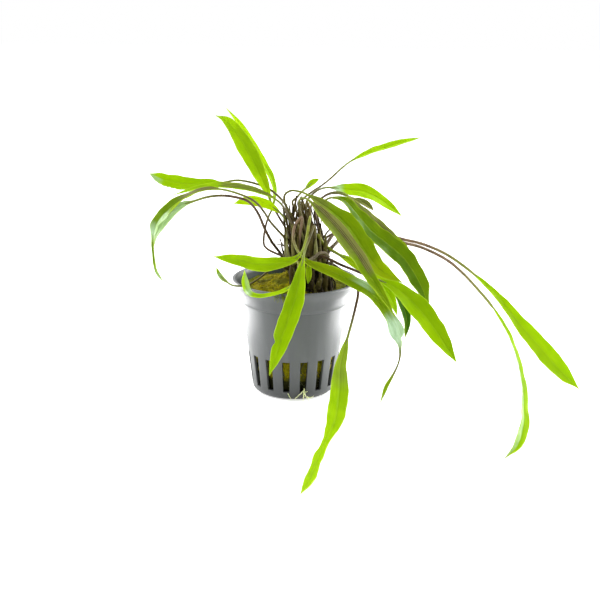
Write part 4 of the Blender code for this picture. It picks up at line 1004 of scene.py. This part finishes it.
class MakeCrown(bpy.types.Operator):
    """Make the crowded leaf bases, dead stalks, spikes and dry husks of the crown"""

    bl_idname = "plant.make_crown"
    bl_label = "Crown"

    def execute(self, context):
        plant = context.scene.plant_leaves
        wool = context.scene.plant_wool
        rng = random.Random(5)
        bases, tones = [], []
        for i in range(230):
            reach, turn = math.sqrt(rng.random()), rng.uniform(0, 2 * math.pi)
            foot = Vector((9.0 + 8.0 * reach * math.cos(turn), -7.5 + 10.5 * reach * math.sin(turn), 0))
            foot.z = min(wool_height(foot.x, foot.y, wool), 49.5) - 1.6
            head = Vector((5.0 + 9.5 * reach * math.cos(turn), 0.3 + 8.4 * reach * math.sin(turn),
                           rng.uniform(54, 66) - 2.5 * reach))
            thick = rng.uniform(0.28, 0.85)
            bow = Vector((rng.uniform(-1.6, 1.6), rng.uniform(-1.6, 1.6), 0))
            points = [foot.lerp(head, t / 9) + bow * math.sin(math.pi * t / 9) for t in range(10)]
            points = wander(points, 1.0, 0.5, i)
            bases.append([(point, thick * (1.15 - 0.95 * (k / 9) ** 1.6)) for k, point in enumerate(points)])
            tones.append(rng.random() ** 2.2)
        clump = tubes("leaf_bases", bases, 2, tones)
        browns = [(0.014, 0.009, 0.001), (0.035, 0.023, 0.003), (0.07, 0.055, 0.006), (0.13, 0.115, 0.012),
                  (0.24, 0.2, 0.05)]
        old = dead_finish("old_bases", browns, 0.15)
        finished(clump, "leaf_bases", [old], "rootstock", "rootstock", sharp=60)

        stalks, tones = [], []
        for i in range(plant.dead_stalks):
            reach, turn = math.sqrt(rng.random()), rng.uniform(0, 2 * math.pi)
            foot = Vector((5.5 + 9.0 * reach * math.cos(turn), -0.6 + 8.6 * reach * math.sin(turn), 52))
            tall = rng.uniform(62, 87) - 5 * reach
            swing = turn + rng.uniform(-0.9, 0.9)
            out = reach * rng.uniform(0.75, 1.1)
            share = (tall - 52) / 35
            head = Vector((5.5 - 3.2 * share + 8.8 * out * math.cos(swing),
                           -0.6 + 3.5 * share + 8.6 * out * math.sin(swing), tall))
            thick = rng.uniform(0.22, 0.62)
            bow = Vector((rng.uniform(-2.5, 2.5), rng.uniform(-2.5, 2.5), 0))
            points = [foot.lerp(head, t / 11) + bow * math.sin(math.pi * t / 11) for t in range(12)]
            points = wander(points, 1.1, 0.33, 100 + i)
            taper = rng.choice((0.25, 0.7, 0.85))
            stalks.append([(point, thick * (1 - (1 - taper) * (k / 11) ** 2)) for k, point in enumerate(points)])
            tones.append(rng.random())
        dead = tubes("dead_stalks", stalks, 1, tones)
        mixed = [(0.018, 0.011, 0.002), (0.05, 0.03, 0.006), (0.09, 0.07, 0.01), (0.2, 0.15, 0.04),
                 (0.28, 0.27, 0.09)]
        brown = dead_finish("dead_stalk", mixed, 0.3)
        finished(dead, "dead_stalks", [brown], "rootstock", sharp=60)

        self.sheaths(rng)
        spikes = [
            ([(-1.5, -1, 60), (-4.3, -1, 64), (-8, -1, 65.1), (-11.8, -1, 65.7)], 0.5, 0.08),
            ([(-2, 0, 58), (-4.5, 0, 59.6), (-7.3, 0, 60.9)], 0.7, 0.1),
            ([(-1, 0, 57), (-3.6, 0.5, 62), (-7.5, 1, 67.5), (-9.5, 1, 69)], 0.4, 0.1),
            ([(-1.5, 1, 74), (-4, 0.5, 80), (-4.5, 0, 85.5), (-4.6, 0, 90)], 0.4, 0.07),
            ([(-0.5, -3, 73), (-3.5, -3, 79), (-5.5, -3, 82.5), (-5.6, -3, 84.8)], 0.6, 0.1),
            ([(4, -9, 58), (5, -12.5, 60.5), (6.4, -14, 61.4), (9.1, -14, 63.3), (10.2, -14, 64.5),
              (12.9, -12, 64), (14.5, -10.5, 62)], 0.85, 0.5),
            ([(13, -8, 57), (15.5, -10, 60), (16, -11, 58), (16.2, -11.5, 54)], 0.55, 0.25),
            ([(9, -9, 56), (10.5, -12, 58.5), (11, -13, 55), (10.5, -13.6, 50)], 0.7, 0.3),
            ([(14, -4, 62), (17, -5, 66), (18.5, -5, 70), (21, -5, 73)], 0.45, 0.2),
            ([(11, 0, 66), (14, -1, 71), (17, -2, 74), (22, -3, 74.5)], 0.5, 0.2),
        ]
        strands = []
        for knots, first, last in spikes:
            route = Route(knots)
            shown = np.linspace(0, route.length, 14)
            strands.append([(point, first + (last - first) * k / 13) for k, point in enumerate(route.point(shown))])
        dry = tubes("dry_spikes", strands, 2)
        straw = dead_finish("dry_spike", [(0.06, 0.04, 0.018), (0.22, 0.18, 0.11), (0.34, 0.3, 0.2)], 0.4, False)
        finished(dry, "dry_spikes", [straw], "rootstock", sharp=60)
        return {"FINISHED"}

    # papery sheaths: foot, head, widths at the foot and the middle in mm, tone
    SHEATHS = [
        ((-2.5, -6, 57), (-3.4, -3.5, 73), 3.0, 2.2, 0.9), ((-3.8, -3, 58), (-4.2, -1, 71), 2.4, 2.0, 0.8),
        ((-0.5, -8, 58), (-1.0, -6, 76), 2.6, 2.0, 0.65), ((1.5, -8.8, 57), (1.5, -7, 72), 2.2, 1.8, 0.45),
        ((-3, -4, 56), (-6.4, -4.5, 61.5), 2.2, 1.6, 0.1), ((-2.4, -5, 54.5), (-7.4, -6, 58.6), 2.0, 1.5, 0.15),
        ((3.8, -10.2, 57), (4.6, -8.4, 69), 2.4, 1.8, 0.7), ((8.2, -10.6, 58), (9.0, -8.6, 71), 2.6, 2.0, 0.85),
        ((10.5, -9, 59), (10.5, -6, 73), 2.2, 1.8, 0.55), ((6.3, -10.5, 62), (7.0, -8.2, 75), 2.0, 1.6, 0.35),
        ((12.8, -6.5, 58), (12.6, -4, 70), 2.4, 2.0, 0.6), ((14.5, -8, 51), (16.2, -7, 61), 2.4, 1.8, 0.3),
        ((3, -14.5, 49.5), (5.5, -12.2, 59), 2.6, 2.0, 0.2), ((13, -13.5, 49.5), (13.4, -11.6, 58), 2.8, 2.0, 0.35),
        ((6.5, -16.8, 49.5), (8.4, -14, 58), 2.4, 2.0, 0.1), ((9.8, -17.4, 49.5), (11.0, -14.4, 56.5), 2.4, 1.8, 0.4),
        ((-1.4, -11, 50), (-1.5, -8.2, 60), 2.6, 2.0, 0.25), ((-4.4, 2, 58), (-6.2, 3, 68), 2.0, 1.6, 0.3),
    ]

    def sheaths(self, rng):
        """Old leaf sheaths, each a narrow grid bent round the clump's outside and given a ragged tip."""
        pieces = []
        for number, (foot, head, low, wide, tone) in enumerate(self.SHEATHS):
            nothing_selected()
            bpy.ops.mesh.primitive_grid_add(x_subdivisions=6, y_subdivisions=16, size=2)
            sheet = bpy.context.object
            foot, head = Vector(foot), Vector(head)
            out = Vector((foot.x - 5.5, foot.y + 1.0, 0)).normalized()
            across = out.cross(head - foot).normalized()
            turn = rng.uniform(-0.5, 0.5)
            for vertex in sheet.data.vertices:
                u, t = vertex.co.x, (vertex.co.y + 1) / 2
                width = (low + (wide - low) * min(t * 2, 1)) * (1 - max(0.0, (t - 0.55) / 0.45) ** 1.3 * 0.92) / 2
                ragged = 0.05 * noise.noise(Vector((u * 3, number * 2.7, 0))) * (t > 0.9)
                bend = out * (math.sin(math.pi * t) * 0.7 - 0.55 * u * u * width)
                twist = across * math.cos(turn * t * 2) + out * math.sin(turn * t * 2)
                drift = noise.noise_vector(Vector((t * 2.2, number * 3.7, 5.1))) * 0.8 * t
                vertex.co = (foot.lerp(head, t + ragged) + twist * u * width + bend + drift) * MM
            set_vectors(sheet.data, "tone", [tone] * len(sheet.data.vertices), "FLOAT")
            pieces.append(sheet)
        nothing_selected()
        for piece in pieces:
            piece.select_set(True)
        bpy.context.view_layer.objects.active = pieces[0]
        bpy.ops.object.join()
        sheath = bpy.context.object
        wall = sheath.modifiers.new("wall", "SOLIDIFY")
        wall.thickness = 0.14 * MM
        apply_all(sheath)
        mixed = [(0.025, 0.015, 0.003), (0.06, 0.042, 0.008), (0.13, 0.11, 0.02), (0.19, 0.18, 0.045), (0.26, 0.27, 0.1)]
        finished(sheath, "old_sheaths", [dead_finish("old_sheath", mixed, 0.25)], "rootstock", sharp=60)


class MakeRoots(bpy.types.Operator):
    """Make the tuft of young roots by the front slot and the roots that show behind the slots"""

    bl_idname = "plant.make_roots"
    bl_label = "Roots"

    def execute(self, context):
        tips = [
            [(4.8, -17.2, 5.3), (4.6, -18.7, 5.0), (3.0, -19.0, 3.4), (1.2, -18.8, 1.7), (0.7, -18.7, 0.55)],
            [(4.8, -17.3, 5.0), (4.6, -19.1, 4.6), (5.6, -19.7, 2.8), (6.6, -20.2, 1.0), (6.9, -20.4, 0.5)],
            [(4.6, -18.5, 4.2), (4.6, -19.8, 3.4), (4.4, -20.2, 1.8), (4.3, -20.3, 0.6)],
            [(6.0, -19.7, 2.6), (7.0, -19.5, 2.1), (8.2, -18.9, 2.2), (8.8, -18.6, 2.5)],
            [(-2.2, -18.2, 3.4), (-1.6, -18.8, 2.4), (-1.0, -18.9, 1.4), (-0.8, -18.9, 0.5)],
            [(4.6, -19.0, 4.4), (5.4, -19.2, 4.5), (6.2, -19.0, 4.8)],
        ]
        strands = []
        for i, knots in enumerate(tips):
            route = Route(knots)
            points = wander(route.point(np.linspace(0, route.length, 16)), 0.22, 0.5, 40 + i)
            thick = 0.16 if i in (4, 5) else 0.25
            strands.append([(point, thick * (1.25 - 0.75 * k / 15)) for k, point in enumerate(points)])
        tuft = tubes("young_roots", strands, 3)
        cream = root_finish("young_root", (0.86, 0.88, 0.55))
        finished(tuft, "young_roots", [cream], "root", "root_tuft", sharp=60)

        rng = random.Random(23)
        strands = []
        for i in range(120):
            turn, low = rng.uniform(0, 2 * math.pi), rng.uniform(2.6, 12)
            points = []
            swing, climb = rng.uniform(-0.25, 0.25), rng.uniform(1.5, 8)
            for step in range(10):
                t = step / 9
                z = low + climb * t
                reach = 16.15 + 0.118 * (z - 5)
                angle = turn + swing * t
                points.append((reach * math.sin(angle), -reach * math.cos(angle), z))
            points = wander(points, 0.45, 0.5, 300 + i)
            strands.append([(point, rng.uniform(0.1, 0.22)) for point in points])
        inner = tubes("inner_roots", strands, 1)
        dark = dead_finish("inner_root", [(0.012, 0.014, 0.006), (0.05, 0.06, 0.022), (0.16, 0.16, 0.08)], 0.3, False)
        finished(inner, "inner_roots", [dark], "root", sharp=60)
        return {"FINISHED"}


class MakeStalks(bpy.types.Operator):
    """Make a tapering stalk for every leaf, from the crown into its blade"""

    bl_idname = "plant.make_stalks"
    bl_label = "Stalks"

    COLOURS = {
        "brown": ((0.045, 0.024, 0.012), (0.17, 0.10, 0.045)),
        "olive": ((0.06, 0.045, 0.01), (0.18, 0.16, 0.03)),
        "tan": ((0.12, 0.07, 0.035), (0.34, 0.24, 0.14)),
        "green": ((0.16, 0.19, 0.015), (0.38, 0.4, 0.04)),
    }

    # how much stouter than the others a stalk is
    STOUT = {"far_right": 1.45, "far_right_low": 1.4, "front_right_glossy": 1.15, "floor_front": 1.25,
             "right_low": 1.2, "left_arching": 1.15, "right_yellow": 1.5, "small_left": 0.85, "top_arching": 0.9}

    def execute(self, context):
        plant = context.scene.plant_leaves
        finishes = {kind: stalk_finish(f"stalk_{kind}", *pair) for kind, pair in self.COLOURS.items()}
        for leaf in LEAVES:
            route = Route(leaf.knots)
            end = route.knot_lengths[leaf.blade_from] + min(3.5, 0.12 * route.length)
            shown = np.linspace(0, end, max(24, int(end / 0.8)))
            start = route.knot_lengths[leaf.blade_from]
            stout = self.STOUT.get(leaf.name, 1.0)
            foot_radius, top_radius = plant.stalk_foot / MM * stout, plant.stalk_top / MM * stout
            radii = np.interp(shown, [0, start, end], [foot_radius, top_radius, top_radius * 0.35])
            points = list(route.point(shown))
            foot = Vector(leaf.knots[0])
            below = Vector((6.3 + 0.8 * (foot.x - 5), -0.8 + 0.8 * (foot.y - 1), 48.5))
            lead = [below.lerp(foot, t / 5) for t in range(5)]
            strand = [(point, foot_radius * (1.35 - 0.07 * k)) for k, point in enumerate(lead)]
            strand += list(zip(points, radii))
            stalk = tubes(f"stalk_{leaf.name}", [strand], 3)
            self.mark(stalk.data, route, start)
            slot = "stalk_tan" if leaf.stalk == "tan" else "stalk_brown"
            finished(stalk, f"stalk_{leaf.name}", [finishes[leaf.stalk]], slot, f"stem_{leaf.name}", sharp=60)
        return {"FINISHED"}

    @staticmethod
    def mark(mesh, route, start):
        """Stores how far round and how far along each point of the stalk is."""
        spots = np.array([tuple(vertex.co) for vertex in mesh.vertices]) / MM
        away = np.linalg.norm(spots[:, None, :] - route.points[None, :, :], axis=2)
        nearest = away.argmin(axis=1)
        off = spots - route.points[nearest]
        around = np.arctan2(off @ np.array([0.8, 0.6, 0.0]), off @ np.array([-0.5, 0.62, 0.6]))
        along = route.lengths[nearest]
        set_vectors(mesh, "place", np.stack([around, along, np.clip(along / start, 0, 1)], axis=1))


class MakeBlades(bpy.types.Operator):
    """Make every leaf's blade, with its midrib, waved margin, veins and marks"""

    bl_idname = "plant.make_blades"
    bl_label = "Blades"

    COLUMNS = 22

    def execute(self, context):
        plant = context.scene.plant_leaves
        finishes = {}
        for kind in ("bright", "green", "dark"):
            colour = tuple(getattr(plant, kind))
            finishes[kind] = [blade_finish(f"leaf_{kind}", colour), blade_finish(f"leaf_{kind}_under", colour, True)]
        for number, leaf in enumerate(LEAVES):
            blade = self.blade(leaf, number, plant)
            finished(blade, f"blade_{leaf.name}", finishes[leaf.colour], f"leaf_{leaf.colour}", f"leaf_{leaf.name}",
                     sharp=50)
        return {"FINISHED"}

    def blade(self, leaf, number, plant):
        """A grid laid along the leaf's route and given its outline, fold and waves, then its thickness."""
        route = Route(leaf.knots)
        start = route.knot_lengths[leaf.blade_from] - 0.4
        length = route.length - start
        rows = max(20, int(length / 0.75))
        nothing_selected()
        bpy.ops.mesh.primitive_grid_add(x_subdivisions=self.COLUMNS, y_subdivisions=rows, size=2)
        sheet = bpy.context.object
        flat = np.empty(len(sheet.data.vertices) * 3)
        sheet.data.vertices.foreach_get("co", flat)
        flat = flat.reshape(-1, 3)
        u, v = flat[:, 0], (flat[:, 1] + 1) / 2

        swell = np.clip(smooth_row(OUTLINES[leaf.outline], v), 0, 1)
        ends = (plant.stalk_top / MM) * 2 * (1 - v) + 0.12 * v
        half = (ends + (leaf.width - ends) * swell) / 2
        rng = random.Random(number)
        phase = [rng.uniform(0, 6.28) for _ in range(6)]
        along = v * length
        # an uneven margin
        half *= 1 + 0.035 * np.sin(along / 2.7 + phase[0] + u) + 0.02 * np.sin(along / 1.1 + phase[1] + 2 * u)
        for mark in leaf.marks:
            side_share = np.clip(u * mark.half / 0.25 + 0.5, 0, 1)
            if mark.kind == "notch":
                half *= 1 - mark.strength * side_share * np.exp(-(((v - mark.start) / mark.end) ** 2))
            elif mark.kind == "torn":
                tooth = np.abs((along / 1.9) % 1 - 0.2) * (v > mark.start) * (v < mark.end)
                half *= 1 - mark.strength * side_share * tooth
        lengths = start + along
        middle = route.point(lengths)
        tangent = route.tangent(lengths)
        up = unit(smooth_row([Vector(face).normalized() for face in leaf.faces], v))
        up = unit(up - tangent * np.sum(up * tangent, axis=1, keepdims=True))
        side = np.cross(tangent, up)
        offset = np.abs(u) * half
        lift = half * leaf.fold * np.abs(u) ** 1.35
        size = np.minimum(half / 3, 1)
        left = np.sin(along / 2.1 + phase[2]) + 0.5 * np.sin(along / 1.2 + phase[3])
        right = np.sin(along / 2.3 + phase[4]) + 0.5 * np.sin(along / 1.3 + phase[5])
        lift += leaf.wave * size * np.abs(u) ** 2.2 * np.where(u < 0, left, right)
        lift -= 0.16 * size * np.exp(-((offset / 0.32) ** 2))
        cockle = np.array([noise.noise(Vector((a / 3.2, b * 1.6, number * 3.1))) for a, b in zip(along, u)])
        marks = self.marks(leaf, u, v)
        lift += (0.16 + 0.5 * marks[:, 0]) * size * cockle
        spots = middle + side * (u * half * math.cos(leaf.fold * 0.8))[:, None] + up * lift[:, None]
        spots[:, 2] = np.maximum(spots[:, 2], 0.3)
        sheet.data.vertices.foreach_set("co", (spots * MM).ravel())
        sheet.data.update()
        set_vectors(sheet.data, "place", np.stack([u, along, offset], axis=1))
        set_vectors(sheet.data, "marks", marks[:, :3])
        set_vectors(sheet.data, "yellow", marks[:, 3], "FLOAT")
        thick = sheet.modifiers.new("thickness", "SOLIDIFY")
        thick.thickness = plant.leaf_thickness
        thick.offset = -1
        thick.material_offset = 1
        thick.material_offset_rim = 0
        sheet.data.materials.append(None)
        sheet.data.materials.append(None)
        apply_all(sheet)
        return sheet

    @staticmethod
    def marks(leaf, u, v):
        """The strength of each kind of mark over the blade."""
        found = np.zeros((len(u), 4))
        for mark in leaf.marks:
            if mark.kind not in MARK_KINDS:
                continue
            rise = np.clip((v - mark.start) / 0.07 + 0.5, 0, 1)
            fall = np.clip((mark.end - v) / 0.07 + 0.5, 0, 1)
            share = rise * fall
            if mark.end >= 1:
                share = rise
            if mark.start <= 0:
                share = fall if mark.end < 1 else np.ones_like(v)
            if mark.half:
                share = share * np.clip(u * mark.half / 0.25 + 0.5, 0, 1)
            kind = MARK_KINDS.index(mark.kind)
            found[:, kind] = np.maximum(found[:, kind], share * mark.strength)
        return found


class MakeStage(bpy.types.Operator):
    """Set up the pale floor, the soft lights and the camera"""

    bl_idname = "plant.make_stage"
    bl_label = "Stage"

    def execute(self, context):
        stage = context.scene.plant_stage
        nothing_selected()
        bpy.ops.mesh.primitive_plane_add(size=stage.floor_size, location=(0, 0, 0))
        floor = context.object
        floor.name = "floor"
        floor.data.materials.append(floor_finish("studio_floor"))

        context.scene.world = studio_world("studio", stage.front)
        self.softbox("key", (-0.2, -0.3, 0.85), (0.01, 0, 0.05), (0.5, 0.5), stage.key)
        self.softbox("left", (-0.6, 0.22, 0.3), (0, 0, 0.04), (0.4, 0.7), stage.sides)
        self.softbox("right", (0.6, 0.22, 0.3), (0, 0, 0.04), (0.4, 0.7), stage.sides * 1.3)
        self.softbox("back", (0.0, 0.8, 0.55), (0, 0, 0.06), (0.8, 0.5), stage.back)
        pot = bpy.data.collections.new("edge_lit")
        pot.objects.link(bpy.data.objects["net_pot"])
        for name, side, share in (("edge_left", -1, 1.0), ("edge_right", 1, 1.05)):
            strip = self.softbox(name, (side * 0.075, 0.022, 0.023), (0, 0, 0.022), (0.09, 0.045), stage.edge * share)
            strip.light_linking.receiver_collection = pot

        bpy.ops.object.camera_add()
        camera = context.object
        camera.name = "camera"
        forward = Vector((0, math.cos(stage.elevation), -math.sin(stage.elevation)))
        right = Vector((1, 0, 0))
        up = right.cross(forward)
        c, s = math.cos(stage.roll), math.sin(stage.roll)
        right, up = right * c + up * s, up * c - right * s
        target = Vector((2.42, 0, 40)) * MM
        place = Matrix((right, up, -forward)).transposed().to_4x4()
        place.translation = target - forward * stage.distance
        camera.matrix_world = place
        camera.data.lens = stage.lens
        camera.data.sensor_width = 36
        camera.data.clip_start = 0.01
        context.scene.camera = camera
        context.scene.view_settings.view_transform = "Standard"
        context.scene.view_settings.look = "None"
        nothing_selected()
        return {"FINISHED"}

    @staticmethod
    def softbox(name, place, target, sides, power):
        bpy.ops.object.light_add(type="AREA", location=place)
        lamp = bpy.context.object
        lamp.name = name
        lamp.data.shape = "RECTANGLE"
        lamp.data.size, lamp.data.size_y = sides
        lamp.data.energy = power
        lamp.visible_camera = False
        aim = Vector(target) - Vector(place)
        lamp.rotation_euler = aim.to_track_quat("-Z", "Y").to_euler()
        return lamp


OPERATORS = (MakePot, MakeWool, MakeCrown, MakeRoots, MakeStalks, MakeBlades, MakeStage)


class PlantPanel(bpy.types.Panel):
    """The plant's pieces and their sizes"""

    bl_idname = "VIEW3D_PT_plant"
    bl_label = "Potted cryptocoryne"
    bl_space_type = "VIEW_3D"
    bl_region_type = "UI"
    bl_category = "Plant"

    GROUPS = ("plant_pot", "plant_leaves", "plant_wool", "plant_stage")

    def draw(self, context):
        for group in self.GROUPS:
            box = self.layout.box()
            settings = getattr(context.scene, group)
            for name in type(settings).__annotations__:
                box.prop(settings, name)
        for operator in OPERATORS:
            self.layout.operator(operator.bl_idname)


SETTINGS = {"plant_pot": PotSettings, "plant_leaves": PlantSettings, "plant_wool": WoolSettings,
            "plant_stage": StageSettings}


def register():
    for settings in SETTINGS.values():
        bpy.utils.register_class(settings)
    for name, settings in SETTINGS.items():
        setattr(bpy.types.Scene, name, PointerProperty(type=settings))
    for operator in OPERATORS:
        bpy.utils.register_class(operator)
    bpy.utils.register_class(PlantPanel)


def unregister():
    bpy.utils.unregister_class(PlantPanel)
    for operator in OPERATORS:
        bpy.utils.unregister_class(operator)
    for name, settings in SETTINGS.items():
        delattr(bpy.types.Scene, name)
        bpy.utils.unregister_class(settings)


def main():
    register()
    bpy.ops.plant.make_pot()
    bpy.ops.plant.make_wool()
    bpy.ops.plant.make_crown()
    bpy.ops.plant.make_roots()
    bpy.ops.plant.make_stalks()
    bpy.ops.plant.make_blades()
    bpy.ops.plant.make_stage()


if __name__ == "__main__":
    main()
